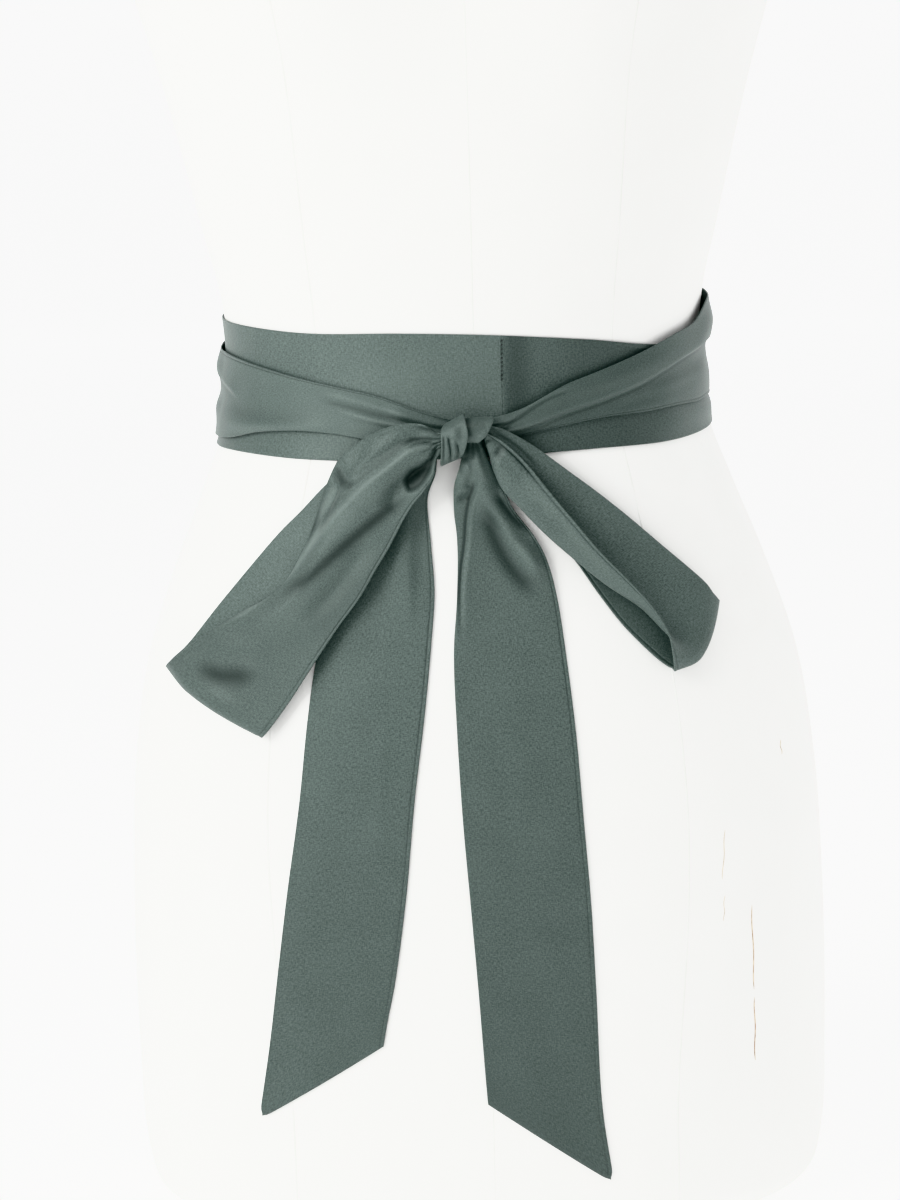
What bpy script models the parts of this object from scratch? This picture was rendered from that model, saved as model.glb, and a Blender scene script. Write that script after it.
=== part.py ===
"""A satin sash wound twice round a limbless dress form and tied in a bow at the front.

The tables and functions work in millimetres; solid() turns them into metres. The form's flat
bottom stands at height 0, its front faces -Y, and +X is the viewer's right. `turn` is the angle
round the form in degrees: 0 at the front, 90 at the viewer's right, 180 at the back.
`out` is measured square to the form's surface and `lift` straight forward from it.
"""
import bpy
import bmesh
import numpy as np

METRES = 0.001

# The sash is a flat tube of satin; each layer of it here is one wall.
CLOTH_THICKNESS = 1.0
KNOT_THICKNESS = 1.5

FORM_HEIGHT = 850.0
BOTTOM_EDGE_RADIUS = 14.0
NECK_EDGE_RADIUS = 5.0
FORM_POINTS_ROUND = 48
FORM_ROWS = [  # from, to, spacing: closer where the sash lies, at the bust and at the shoulders
    (BOTTOM_EDGE_RADIUS, 350, 42),
    (354, 462, 12),
    (475, 540, 28),
    (550, 670, 17),
    (684, 705, 16),
    (716, 806, 10),
    (812, 840, 14),
]
BUST_HEIGHT = 602.0
BUST_FROM_MIDDLE = 78.0
BUST_DEPTH = 17.0
BUST_WIDTH = 46.0
BUST_TALLNESS = 52.0

WRAP_STEP = 5.0       # degrees between a wrap's sections
WRAP_COLUMNS = 4
FOLDED_WRAP_COLUMNS = 8
RIBBON_STEPS = 2      # sections for each row of a ribbon's table
LOOP_COLUMNS = 12
FOLD_ROUNDNESS = 5.0  # how far forward a turned-over edge heads at its fold
FOLD_FADE = 0.3       # share of a fold's length over which each of its ends fades
TAIL_COLUMNS = 8
KNOT_COLUMNS = 7

SMALL_STEP = 0.5      # degrees and millimetres between points that give the form's slope
FRONT_REACH = 0.98    # share of the half width up to which the form counts as its front

CLOTH_COLOUR = (0.125, 0.166, 0.150, 1.0)
FORM_COLOUR = (0.86, 0.86, 0.84, 1.0)


class Table:
    """Rows of numbers with named columns. A column is a smooth curve over the first column."""

    def __init__(self, columns, rows):
        self.columns = columns.split()
        self.rows = np.array(rows, dtype=float)

    def first(self):
        return self.rows[0, 0]

    def last(self):
        return self.rows[-1, 0]

    def at(self, column, place):
        known = self.rows[:, 0]
        value = self.rows[:, self.columns.index(column)]
        place = np.clip(np.asarray(place, dtype=float), known[0], known[-1])
        step = np.diff(known)
        rise = np.diff(value) / step
        slope = np.empty_like(value)
        slope[0], slope[-1] = rise[0], rise[-1]
        slope[1:-1] = (rise[:-1] * step[1:] + rise[1:] * step[:-1]) / (step[1:] + step[:-1])
        i = np.clip(np.searchsorted(known, place, side="right") - 1, 0, len(step) - 1)
        t = (place - known[i]) / step[i]
        start = (2 * t ** 3 - 3 * t ** 2 + 1) * value[i] + (t ** 3 - 2 * t ** 2 + t) * step[i] * slope[i]
        end = (3 * t ** 2 - 2 * t ** 3) * value[i + 1] + (t ** 3 - t ** 2) * step[i] * slope[i + 1]
        return start + end


# The form: a general figure with a 65 cm waist and 94 cm hips. Its widest line runs at `side`.
FORM = Table("height half_width front back side squareness", [
    (0, 163.0, 113, 106, 0, 2.30),
    (30, 168.5, 115, 110, 0, 2.30),
    (70, 170.0, 116, 114, 0, 2.30),
    (150, 170.0, 117, 122, 2, 2.30),
    (211, 167.0, 114, 124, 4, 2.30),
    (265, 159.0, 108, 118, 5, 2.25),
    (309, 144.5, 101, 106, 5, 2.20),
    (348, 129.0, 95, 96, 4, 2.15),
    (378, 118.0, 91, 90, 2, 2.10),
    (398, 114.5, 89, 88, 0, 2.10),
    (437, 115.5, 92, 88, -1, 2.10),
    (473, 123.5, 97, 90, -2, 2.15),
    (543, 140.0, 106, 96, -2, 2.25),
    (600, 156.0, 109, 102, 0, 2.30),
    (650, 168.0, 102, 107, 4, 2.40),
    (700, 177.0, 84, 106, 10, 2.50),
    (736, 180.0, 64, 97, 14, 2.60),
    (752, 170.0, 56, 90, 15, 2.50),
    (764, 145.0, 51, 83, 16, 2.30),
    (776, 110.0, 48, 76, 16, 2.10),
    (788, 78.0, 48, 71, 15, 2.00),
    (802, 62.0, 50, 66, 12, 2.00),
    (822, 57.0, 50, 62, 8, 2.00),
    (850, 56.0, 52, 59, 4, 2.00),
])

# The first wrap: the middle of the sash. At the back each end narrows to half the width,
# the left one upwards and the right one downwards, and goes on as a second wrap.
WRAP_COLUMN_NAMES = "turn bottom top out"
FIRST_WRAP = Table(WRAP_COLUMN_NAMES, [
    (-170, 407, 436, 0.9),
    (-150, 378, 437, 0.9),
    (-120, 375, 436, 0.9),
    (-90, 371, 433, 0.9),
    (-66, 371, 431, 0.9),
    (-46, 370, 429, 0.9),
    (-20, 370, 429, 0.9),
    (10, 371, 427, 0.9),
    (36, 372, 423, 0.9),
    (58, 372, 418, 0.9),
    (75, 374, 418, 0.9),
    (90, 376, 421, 0.9),
    (120, 377, 430, 0.9),
    (150, 378, 436, 0.9),
    (170, 378, 406, 0.9),
])

# The second wrap on the left comes from the lower half at the back.
SECOND_WRAP_LEFT = Table(WRAP_COLUMN_NAMES, [
    (-189.8, 378, 406, 0.9),
    (-184, 378, 406, 1.0),
    (-180, 378, 406, 1.3),
    (-174, 378, 406, 2.0),
    (-170, 377, 409, 2.4),
    (-165, 377, 416, 2.4),
    (-150, 376, 425, 2.4),
    (-120, 375, 424, 2.4),
    (-88, 375, 418, 2.4),
    (-70, 377, 415, 2.4),
    (-60, 381, 412, 2.4),
    (-46, 383, 407, 2.4),
    (-37, 382, 404, 2.4),
    (-26, 379, 400, 2.4),
    (-14, 377, 393, 2.5),
    (-8, 376, 390, 2.7),
    (-3, 377, 388, 2.7),
])

# The second wrap on the right comes from the upper half at the back.
SECOND_WRAP_RIGHT = Table(WRAP_COLUMN_NAMES, [
    (3, 378, 388, 2.7),
    (8, 378, 389, 2.7),
    (15, 380, 392, 2.5),
    (29, 384, 403, 2.4),
    (38, 386, 408, 2.4),
    (52, 387, 416, 2.4),
    (62, 388, 422, 2.4),
    (72, 388, 427, 2.4),
    (80, 389, 435, 2.4),
    (92, 389, 438, 2.4),
    (120, 387, 440, 2.4),
    (150, 385, 439, 2.4),
    (166, 398, 438, 2.4),
    (173, 407, 438, 2.3),
    (180, 408, 437, 1.7),
    (185, 408, 437, 1.1),
    (189.8, 408, 436, 0.9),
])

# Folds are soft ridges, or troughs where the height is negative, from one place to another.
# Those of the wraps run from turn to turn. `across` is 0 at the lower edge and 1 at the upper
# one, and their width is a share of the wrap's width.
FOLD_COLUMNS = "start start_across end end_across height width"
FIRST_WRAP_FOLDS = Table(FOLD_COLUMNS, [])
LEFT_WRAP_FOLDS = Table(FOLD_COLUMNS, [
    (-170, 0.35, -84, 0.25, 2.6, 0.20),
    (-150, 0.70, -60, 0.72, 1.2, 0.20),
    (-96, 0.20, -34, 0.20, 1.6, 0.22),
    (-24, 0.72, -4, 0.66, 1.5, 0.20),
    (-22, 0.26, -4, 0.28, 1.3, 0.20),
])
RIGHT_WRAP_FOLDS = Table(FOLD_COLUMNS, [
    (172, 0.60, 66, 0.78, 2.4, 0.17),
    (110, 0.76, 14, 0.74, 1.7, 0.20),
    (150, 0.25, 30, 0.18, 1.6, 0.20),
    (30, 0.30, 5, 0.30, 1.2, 0.20),
])

# The loops are one ribbon each: front layer, folded end, back layer. Edge `a` is the upper edge
# and edge `b` the lower one. `mid` lies a fixed share of the way across; where `fold` is 1 the
# ribbon turns back on itself there, and where it is 0 it lies flat.
RIBBON_COLUMNS = "row a_x a_z a_lift mid_x mid_z mid_lift b_x b_z b_lift fold"
LEFT_LOOP_MID = 0.25
LEFT_LOOP = Table(RIBBON_COLUMNS, [
    (0, -2, 386, 12.5, -2, 383, 13.0, -2, 375, 12.5, 0.0),
    (1, -13, 385, 12.5, -13, 381, 13.5, -13, 373, 12.5, 0.0),
    (2, -21, 388, 11.5, -20, 379, 14.5, -16, 364, 12.5, 0.0),
    (3, -33, 387, 10.0, -31, 376, 14.5, -21, 357, 12.0, 0.0),
    (4, -47, 381, 8.0, -43, 370, 14.5, -26, 351, 11.0, 0.0),
    (5, -58.5, 372, 7.0, -53, 361, 14.0, -31, 343, 10.5, 0.0),
    (6, -66, 359, 6.0, -60, 351, 14.0, -37, 332, 10.0, 0.0),
    (7, -70.5, 346, 5.6, -65, 339, 13.0, -44, 321, 9.5, 0.0),
    (8, -77, 330, 5.4, -71, 324, 12.5, -52, 308, 9.0, 0.0),
    (9, -89, 312, 5.6, -83, 307, 12.0, -62, 295, 8.5, 0.0),
    (10, -109, 299, 6.4, -101, 292, 10.5, -74, 278, 8.0, 0.0),
    (11, -128.5, 286, 8.0, -118, 279, 9.5, -85.5, 261, 7.4, 0.0),
    (12, -142, 275, 10.6, -131, 266, 9.4, -96, 247, 7.0, 0.0),
    (12.6, -145, 271.8, 10.0, -134, 263, 8.6, -98.6, 244, 6.4, 0.0),
    (13, -146.4, 270.4, 7.6, -134.8, 262.2, 6.6, -99.2, 243.2, 4.9, 0.0),
    (13.4, -145.8, 271.0, 5.2, -134, 263, 4.8, -98.6, 244, 3.8, 0.0),
    (14, -142.4, 274.6, 4.4, -130, 267, 4.1, -95, 248, 3.4, 0.0),
    (15, -134, 283, 4.2, -121, 276, 3.9, -86, 261, 3.2, 0.0),
    (16, -117, 304, 3.8, -105, 297, 3.5, -75, 279, 3.1, 0.0),
    (17, -92, 333, 3.3, -82, 326, 3.2, -55, 308, 3.1, 0.0),
    (18, -78, 347, 3.2, -69, 340, 3.2, -45, 321, 3.1, 0.0),
    (19, -64, 361, 4.2, -56, 355, 4.0, -35, 337, 3.8, 0.0),
    (20, -47, 372, 6.2, -42, 367, 5.8, -27, 349, 4.8, 0.0),
    (21, -30, 380, 7.4, -28, 376, 7.2, -20, 361, 6.4, 0.0),
    (22, -13, 384, 8.4, -13, 382, 8.4, -13, 375, 8.0, 0.0),
    (23, -3, 385, 8.4, -3, 383, 8.4, -3, 376, 8.4, 0.0),
])

RIGHT_LOOP_MID = 8 / 12
RIGHT_LOOP = Table(RIBBON_COLUMNS, [
    (0, 8, 387, 12.5, 8, 381, 12.2, 8, 384, 15.0, 0.2),
    (1, 13, 386, 12.0, 10, 374, 11.5, 12, 382, 15.0, 0.6),
    (2, 20, 383, 11.5, 12, 366, 11.0, 18, 378, 14.8, 0.9),
    (3, 31, 376, 10.5, 16, 357, 10.5, 27, 369, 14.0, 1.0),
    (4, 45, 365, 9.5, 24, 348, 9.5, 37, 356, 13.0, 1.0),
    (5, 60, 353, 8.5, 35, 336, 9.0, 48, 342, 12.5, 1.0),
    (6, 75, 340, 8.0, 49, 323, 9.0, 60, 327, 12.5, 1.0),
    (7, 89, 327, 8.0, 63, 311, 9.0, 72, 314, 12.8, 1.0),
    (8, 101, 316, 8.0, 78, 300, 8.6, 83, 301, 14.5, 1.0),
    (9, 110, 307, 8.0, 89, 288, 8.0, 90.5, 288, 15.5, 0.7),
    (10, 114, 301, 7.6, 99, 280, 8.6, 92.5, 277, 13.5, 0.2),
    (10.6, 116, 298.5, 6.6, 102.5, 275.5, 7.8, 93, 271.5, 10.0, 0.0),
    (11, 116.5, 298, 5.2, 104, 273.5, 6.0, 93.3, 269, 6.8, 0.0),
    (11.4, 116, 298.5, 3.8, 103.5, 275, 4.2, 92.5, 269.8, 4.4, 0.0),
    (12, 113, 302, 2.8, 100, 280, 2.8, 90, 271, 2.8, 0.0),
    (13, 107, 308, 2.2, 93, 289, 2.0, 82, 278, 1.8, 0.0),
    (14, 98, 317, 1.8, 80, 300, 1.6, 70, 291, 1.5, 0.0),
    (15, 86, 328, 1.7, 69, 314, 1.5, 59, 306, 1.5, 0.0),
    (16, 74, 339, 1.8, 58, 327, 1.7, 49, 321, 1.7, 0.0),
    (17, 59, 351, 2.8, 45, 341, 2.2, 37, 336, 2.0, 0.0),
    (18, 44, 364, 4.4, 31, 354, 3.4, 25, 350, 3.0, 0.0),
    (19, 28, 375, 5.8, 19, 366, 5.0, 15, 362, 4.6, 0.0),
    (20, 14, 383, 7.2, 11, 378, 6.8, 10, 374, 6.4, 0.0),
    (21, 8, 385, 8.2, 8, 381, 8.2, 8, 377, 8.0, 0.0),
])

TAIL_ROW_COLUMNS = "row a_x a_z a_lift b_x b_z b_lift"
TAIL_LEFT = Table(TAIL_ROW_COLUMNS, [
    (0, -7, 383, 5.9, -7, 375, 5.9),
    (1, -15, 380, 5.9, -13.6, 373, 5.4),
    (2, -25, 369, 3.6, -15, 364, 3.0),
    (3, -39, 352, 1.3, -19, 352, 1.3),
    (4, -55, 331, 1.1, -18, 332, 1.3),
    (5, -66, 306, 1.1, -17, 310, 1.2),
    (6, -73, 279, 1.1, -19, 288, 1.1),
    (7, -78, 250, 1.1, -23, 255, 1.1),
    (8, -83, 212, 1.1, -29, 214, 1.1),
    (9, -90, 170, 1.1, -34, 171, 1.1),
    (10, -96, 130, 1.1, -40, 132, 1.1),
    (11, -101, 96, 1.1, -44.5, 111, 1.1),
    (12, -107.5, 59, 1.1, -47, 98, 1.1),
])

TAIL_RIGHT = Table(TAIL_ROW_COLUMNS, [
    (0, -1, 384, 9.5, 6, 383, 9.5),
    (1, -1.5, 377, 10.0, 6, 379, 10.5),
    (2, -3.6, 369, 9.0, 8.5, 370, 9.0),
    (3, -6.5, 359, 6.0, 13, 360, 6.5),
    (4, -7, 347, 2.4, 20, 347, 3.6),
    (5, -6, 335, 1.2, 30, 334, 2.2),
    (6, -6, 322, 1.1, 36, 321, 1.2),
    (7, -7, 304, 1.1, 40, 303, 1.1),
    (8, -9, 280, 1.1, 43, 279, 1.1),
    (9, -8.5, 245, 1.1, 46.5, 244, 1.1),
    (10, -7, 205, 1.1, 49, 204, 1.1),
    (11, -4.5, 165, 1.1, 51.5, 164, 1.1),
    (12, -2, 124, 1.1, 53, 121, 1.1),
    (13, 0, 86, 1.1, 54.5, 68, 1.1),
    (14, 1, 69, 1.1, 59.5, 27, 1.1),
])

# Folds of the ribbons run from row to row. `across` is 0 at edge a and 1 at edge b, and their
# width is in millimetres.
LEFT_LOOP_FOLDS = Table(FOLD_COLUMNS, [
    (2.0, 0.10, 6.0, 0.08, 2.0, 4.0),
    (1.8, 0.66, 5.2, 0.70, -4.2, 4.2),
    (3.5, 0.10, 7.0, 0.12, -2.4, 3.0),
    (6.0, 0.80, 9.5, 0.55, -1.8, 5.0),
    (10.5, 0.45, 12.0, 0.50, -1.4, 9.0),
])
RIGHT_LOOP_FOLDS = Table(FOLD_COLUMNS, [
    (1.5, 0.30, 4.5, 0.34, 1.8, 4.0),
    (3.0, 0.30, 9.5, 0.34, 2.4, 9.0),
    (1.6, 0.80, 3.5, 0.84, 1.2, 3.0),
])
LEFT_TAIL_FOLDS = Table(FOLD_COLUMNS, [
    (2.0, 0.50, 5.5, 0.72, 1.6, 5.0),
])
RIGHT_TAIL_FOLDS = Table(FOLD_COLUMNS, [
    (1.0, 0.62, 4.8, 0.66, 4.0, 5.0),
    (1.6, 0.20, 3.6, 0.12, 3.0, 3.5),
    (5.0, 0.84, 6.8, 0.78, 2.4, 5.0),
])

# The knot: a short wrap from behind, over the top, down the front and under. `left` and `right`
# are its two edges; each row is one place along it.
KNOT = Table("row left right height lift", [
    (0, -9, 11.0, 388.5, 4.6),
    (1, -9, 11.8, 390.6, 7.0),
    (2, -8, 12.0, 391.6, 10.5),
    (3, -8, 12.2, 391.2, 14.0),
    (4, -10.5, 11.5, 388.0, 17.0),
    (5, -12, 9.0, 384.0, 18.4),
    (6, -12.3, 4.0, 380.0, 18.4),
    (7, -12.5, -1.0, 376.0, 17.2),
    (8, -12.6, -3.4, 372.4, 14.5),
    (9, -12.4, -5.2, 370.4, 10.5),
    (10, -12.0, -6.4, 370.4, 7.0),
    (11, -11.6, -7.0, 371.6, 4.6),
])
KNOT_PLEATS = 3
KNOT_PLEAT_HEIGHT = 0.7
KNOT_CREASE_X = 0.0
KNOT_CREASE_DEPTH = 1.2
KNOT_CREASE_WIDTH = 2.2
KNOT_CREASE_FOOT = 380.0
KNOT_CREASE_FADE = 8.0


def unit(vectors):
    return vectors / np.maximum(np.linalg.norm(vectors, axis=-1, keepdims=True), 1e-9)


def edge_inset(height):
    """How far the form's rounded bottom and neck edges draw in at a height."""
    low = np.clip(1 - height / BOTTOM_EDGE_RADIUS, 0, 1)
    high = np.clip(1 - (FORM_HEIGHT - height) / NECK_EDGE_RADIUS, 0, 1)
    return (BOTTOM_EDGE_RADIUS * (1 - np.sqrt(1 - low ** 2))
            + NECK_EDGE_RADIUS * (1 - np.sqrt(1 - high ** 2)))


def form_surface(turn, height):
    """The point of the form's surface at an angle and a height."""
    turn, height = np.broadcast_arrays(np.radians(turn), np.asarray(height, dtype=float))
    inset = edge_inset(height)
    side = FORM.at("side", height)
    half_width = FORM.at("half_width", height) - inset
    front = FORM.at("front", height) + side - inset
    back = FORM.at("back", height) - side - inset
    power = FORM.at("squareness", height)
    sine, cosine = np.sin(turn), np.cos(turn)
    depth = np.where(cosine > 0, front, back)
    radius = (np.abs(sine / half_width) ** power + np.abs(cosine / depth) ** power) ** (-1 / power)
    x = radius * sine
    y = side - radius * cosine
    bust = np.exp(-((np.abs(x) - BUST_FROM_MIDDLE) / BUST_WIDTH) ** 2
                  - ((height - BUST_HEIGHT) / BUST_TALLNESS) ** 2)
    y = y - BUST_DEPTH * bust * np.clip(cosine, 0, 1)
    return np.stack([x, y, height], axis=-1)


def beside_form(turn, height, out):
    """The point `out` millimetres square to the form's surface."""
    round_way = form_surface(turn + SMALL_STEP, height) - form_surface(turn - SMALL_STEP, height)
    up_way = form_surface(turn, height + SMALL_STEP) - form_surface(turn, height - SMALL_STEP)
    normal = unit(np.cross(round_way, up_way))
    return form_surface(turn, height) + normal * out[..., None]


def before_form(x, height, lift):
    """The point `lift` millimetres straight in front of the form's surface."""
    side = FORM.at("side", height)
    power = FORM.at("squareness", height)
    share = np.clip(np.abs(x) / FORM.at("half_width", height), 0, FRONT_REACH)
    depth = (FORM.at("front", height) + side) * (1 - share ** power) ** (1 / power)
    return np.stack([x, side - depth - lift, height], axis=-1)


def soft_ends(t):
    """0 at both ends of a fold and 1 along its middle."""
    rise = np.clip(np.minimum(t, 1 - t) / FOLD_FADE, 0, 1)
    return rise * rise * (3 - 2 * rise)


def ridges(along, across, folds, width_scale=1.0):
    """The height of all the folds at each point of a grid."""
    total = np.zeros(np.broadcast(along, across).shape)
    for start, start_across, end, end_across, height, width in folds.rows:
        t = (along - start) / (end - start)
        middle = start_across + (end_across - start_across) * t
        total = total + height * soft_ends(t) * np.exp(-((across - middle) * width_scale / width) ** 2)
    return total


def wrap_grid(table, columns, folds):
    """A band of cloth round the form, a row of points for each few degrees."""
    count = int(round((table.last() - table.first()) / WRAP_STEP)) + 1
    turn = np.linspace(table.first(), table.last(), count)[:, None]
    across = np.linspace(0, 1, columns + 1)[None, :]
    bottom, top = table.at("bottom", turn), table.at("top", turn)
    height = bottom + (top - bottom) * across
    return beside_form(turn, height, table.at("out", turn) + ridges(turn, across, folds))


def hermite(start, end, start_way, end_way, t):
    """A smooth curve between two points that leaves and arrives the given ways."""
    return ((2 * t ** 3 - 3 * t ** 2 + 1) * start + (t ** 3 - 2 * t ** 2 + t) * start_way
            + (3 * t ** 2 - 2 * t ** 3) * end + (t ** 3 - t ** 2) * end_way)


def rail(table, name, row):
    """A loop's edge or fold line: one point for each row."""
    return before_form(table.at(name + "_x", row), table.at(name + "_z", row),
                       table.at(name + "_lift", row))


def raise_folds(grid, row, across, folds):
    """Moves a grid along its normals by its folds, whose widths are millimetres."""
    spans = np.linalg.norm(np.diff(grid, axis=1), axis=2).sum(axis=1)[:, None]
    normal = grid_normals(grid)
    return grid + normal * ridges(row, across, folds, spans)[..., None]


def sections(table):
    """The places along a table, evenly spread between each row and the next."""
    count = len(table.rows)
    steps = np.linspace(0, count - 1, (count - 1) * RIBBON_STEPS + 1)
    return np.interp(steps, np.arange(count), table.rows[:, 0])


def loop_grid(table, mid_share, folds):
    """A loop of ribbon. Each section runs from edge a round the fold at `mid` to edge b."""
    row = sections(table)
    a, mid, b = (rail(table, name, row)[:, None, :] for name in ("a", "mid", "b"))
    fold = table.at("fold", row)[:, None, None]
    across = np.linspace(0, 1, LOOP_COLUMNS + 1)
    turn_back = np.array([0.0, -FOLD_ROUNDNESS, 0.0])
    flat = b - a
    t_first = np.clip(across / mid_share, 0, 1)[None, :, None]
    t_second = np.clip((across - mid_share) / (1 - mid_share), 0, 1)[None, :, None]
    way_first = flat * mid_share * (1 - fold) + turn_back * fold
    way_second = flat * (1 - mid_share) * (1 - fold) + turn_back * fold
    first = hermite(a, mid, mid - a, way_first, t_first)
    second = hermite(mid, b, way_second, b - mid, t_second)
    grid = np.where((across <= mid_share)[None, :, None], first, second)
    return raise_folds(grid, row[:, None], across[None, :], folds)


def tail_grid(table, folds):
    """A hanging end of ribbon, with straight sections from edge a to edge b."""
    row = sections(table)[:, None]
    across = np.linspace(0, 1, TAIL_COLUMNS + 1)[None, :]
    parts = []
    for axis in ("x", "z", "lift"):
        a, b = table.at("a_" + axis, row), table.at("b_" + axis, row)
        parts.append(a + (b - a) * across)
    grid = before_form(*parts)
    return raise_folds(grid, row, across, folds)


def knot_grid():
    """The knot's wrap, with pleats along it and a crease between its two front faces."""
    row = sections(KNOT)[:, None]
    across = np.linspace(0, 1, KNOT_COLUMNS + 1)[None, :]
    left, right = KNOT.at("left", row), KNOT.at("right", row)
    x = left + (right - left) * across
    height = np.broadcast_to(KNOT.at("height", row), x.shape)
    forward = FORM.at("front", height) + KNOT.at("lift", row)
    grid = np.stack([x, -forward, height], axis=-1)
    pleats = KNOT_PLEAT_HEIGHT * np.cos(2 * np.pi * KNOT_PLEATS * across) * soft_ends(row / KNOT.last())
    crease = KNOT_CREASE_DEPTH * np.exp(-((x - KNOT_CREASE_X) / KNOT_CREASE_WIDTH) ** 2)
    crease = crease * np.clip((height - KNOT_CREASE_FOOT) / KNOT_CREASE_FADE, 0, 1)
    return grid + grid_normals(grid) * (crease - pleats)[..., None]


def grid_normals(grid):
    """Normals of a grid of points; they face the way that its rows cross its columns."""
    return unit(np.cross(np.gradient(grid, axis=0), np.gradient(grid, axis=1)))


def material(name, colour, roughness):
    made = bpy.data.materials.new(name)
    made.use_nodes = True
    shader = made.node_tree.nodes["Principled BSDF"]
    shader.inputs["Base Color"].default_value = colour
    shader.inputs["Roughness"].default_value = roughness
    shader.inputs["Metallic"].default_value = 0.0
    return made


def solid(name, points, faces, finish):
    """A closed mesh object in metres, with its faces turned outwards."""
    mesh = bpy.data.meshes.new(name)
    mesh.from_pydata((np.asarray(points) * METRES).tolist(), [], faces)
    shape = bmesh.new()
    shape.from_mesh(mesh)
    bmesh.ops.triangulate(shape, faces=shape.faces)
    bmesh.ops.recalc_face_normals(shape, faces=shape.faces)
    shape.to_mesh(mesh)
    shape.free()
    mesh.materials.append(finish)
    mesh.shade_smooth()
    made = bpy.data.objects.new(name, mesh)
    bpy.context.collection.objects.link(made)
    return made


def wall(name, grid, thickness, finish):
    """A cloth wall: the grid's surface, thickened to both sides and closed round its rim."""
    rows, columns = grid.shape[:2]
    normal = grid_normals(grid) * thickness / 2
    points = np.concatenate([(grid + normal).reshape(-1, 3), (grid - normal).reshape(-1, 3)])
    back = rows * columns

    def at(i, j):
        return i * columns + j

    faces = []
    for i in range(rows - 1):
        for j in range(columns - 1):
            quad = [at(i, j), at(i + 1, j), at(i + 1, j + 1), at(i, j + 1)]
            faces.append(quad)
            faces.append([back + k for k in reversed(quad)])
    rim = [at(i, 0) for i in range(rows)]
    rim += [at(rows - 1, j) for j in range(1, columns)]
    rim += [at(i, columns - 1) for i in range(rows - 2, -1, -1)]
    rim += [at(0, j) for j in range(columns - 2, 0, -1)]
    for start, end in zip(rim, rim[1:] + rim[:1]):
        faces.append([start, back + start, back + end, end])
    return solid(name, points, faces, finish)


def edge_heights(radius, steps):
    """Heights above a flat end at which a rounded edge has its points."""
    return [radius * (1 - np.cos(np.pi / 2 * k / steps)) for k in range(steps)]


def dress_form(finish):
    """The limbless form: a closed smooth body with a flat bottom and a flat neck top."""
    body = [np.arange(start, stop, spacing) for start, stop, spacing in FORM_ROWS]
    foot = edge_heights(BOTTOM_EDGE_RADIUS, 4)
    neck = [FORM_HEIGHT - h for h in reversed(edge_heights(NECK_EDGE_RADIUS, 3))]
    heights = np.concatenate([foot, *body, [FORM_HEIGHT - NECK_EDGE_RADIUS], neck])
    turns = np.arange(FORM_POINTS_ROUND) * 360 / FORM_POINTS_ROUND
    points = form_surface(turns[None, :], heights[:, None]).reshape(-1, 3)
    count = FORM_POINTS_ROUND
    faces = [list(range(count)), list(range((len(heights) - 1) * count, len(heights) * count))]
    for i in range(len(heights) - 1):
        for j in range(count):
            k = (j + 1) % count
            faces.append([i * count + j, i * count + k, (i + 1) * count + k, (i + 1) * count + j])
    return solid("dress_form", points, faces, finish)


def build():
    for thing in list(bpy.data.objects):
        bpy.data.objects.remove(thing, do_unlink=True)
    cloth = material("satin", CLOTH_COLOUR, 0.42)
    white = material("form_white", FORM_COLOUR, 0.55)
    dress_form(white)
    wall("sash_first_wrap", wrap_grid(FIRST_WRAP, WRAP_COLUMNS, FIRST_WRAP_FOLDS), CLOTH_THICKNESS, cloth)
    wall("sash_second_wrap_left", wrap_grid(SECOND_WRAP_LEFT, FOLDED_WRAP_COLUMNS, LEFT_WRAP_FOLDS),
         CLOTH_THICKNESS, cloth)
    wall("sash_second_wrap_right", wrap_grid(SECOND_WRAP_RIGHT, FOLDED_WRAP_COLUMNS, RIGHT_WRAP_FOLDS),
         CLOTH_THICKNESS, cloth)
    wall("bow_loop_left", loop_grid(LEFT_LOOP, LEFT_LOOP_MID, LEFT_LOOP_FOLDS), CLOTH_THICKNESS, cloth)
    wall("bow_loop_right", loop_grid(RIGHT_LOOP, RIGHT_LOOP_MID, RIGHT_LOOP_FOLDS), CLOTH_THICKNESS, cloth)
    wall("tail_left", tail_grid(TAIL_LEFT, LEFT_TAIL_FOLDS), CLOTH_THICKNESS, cloth)
    wall("tail_right", tail_grid(TAIL_RIGHT, RIGHT_TAIL_FOLDS), CLOTH_THICKNESS, cloth)
    wall("bow_knot", knot_grid(), KNOT_THICKNESS, cloth)


build()
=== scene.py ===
"""The looks of the satin sash and its dress form: cloth shells, seams, stitches, paint, light and camera.

Tables are in millimetres, on the frame's own origin: the form's flat bottom is at height 0, its front
faces -Y, and `turn` is the angle round it in degrees, 0 at the front and 90 at the viewer's right.
`out` is measured square to the form's surface and `lift` straight forward from it.
"""

import math

import bpy
import numpy as np
from mathutils import Matrix, Vector


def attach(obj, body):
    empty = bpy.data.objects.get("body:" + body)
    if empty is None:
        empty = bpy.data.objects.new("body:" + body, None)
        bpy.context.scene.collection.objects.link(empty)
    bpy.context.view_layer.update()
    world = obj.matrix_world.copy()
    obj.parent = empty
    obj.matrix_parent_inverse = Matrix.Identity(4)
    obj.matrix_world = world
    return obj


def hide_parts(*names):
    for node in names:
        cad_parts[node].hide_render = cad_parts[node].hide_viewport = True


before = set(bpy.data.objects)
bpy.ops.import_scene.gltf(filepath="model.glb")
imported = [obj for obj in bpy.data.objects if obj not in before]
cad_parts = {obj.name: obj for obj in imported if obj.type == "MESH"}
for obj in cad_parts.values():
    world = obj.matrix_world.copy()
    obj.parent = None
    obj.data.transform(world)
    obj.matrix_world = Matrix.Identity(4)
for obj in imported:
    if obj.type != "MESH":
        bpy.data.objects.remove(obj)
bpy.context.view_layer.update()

METRES = 0.001           # in one millimetre
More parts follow.
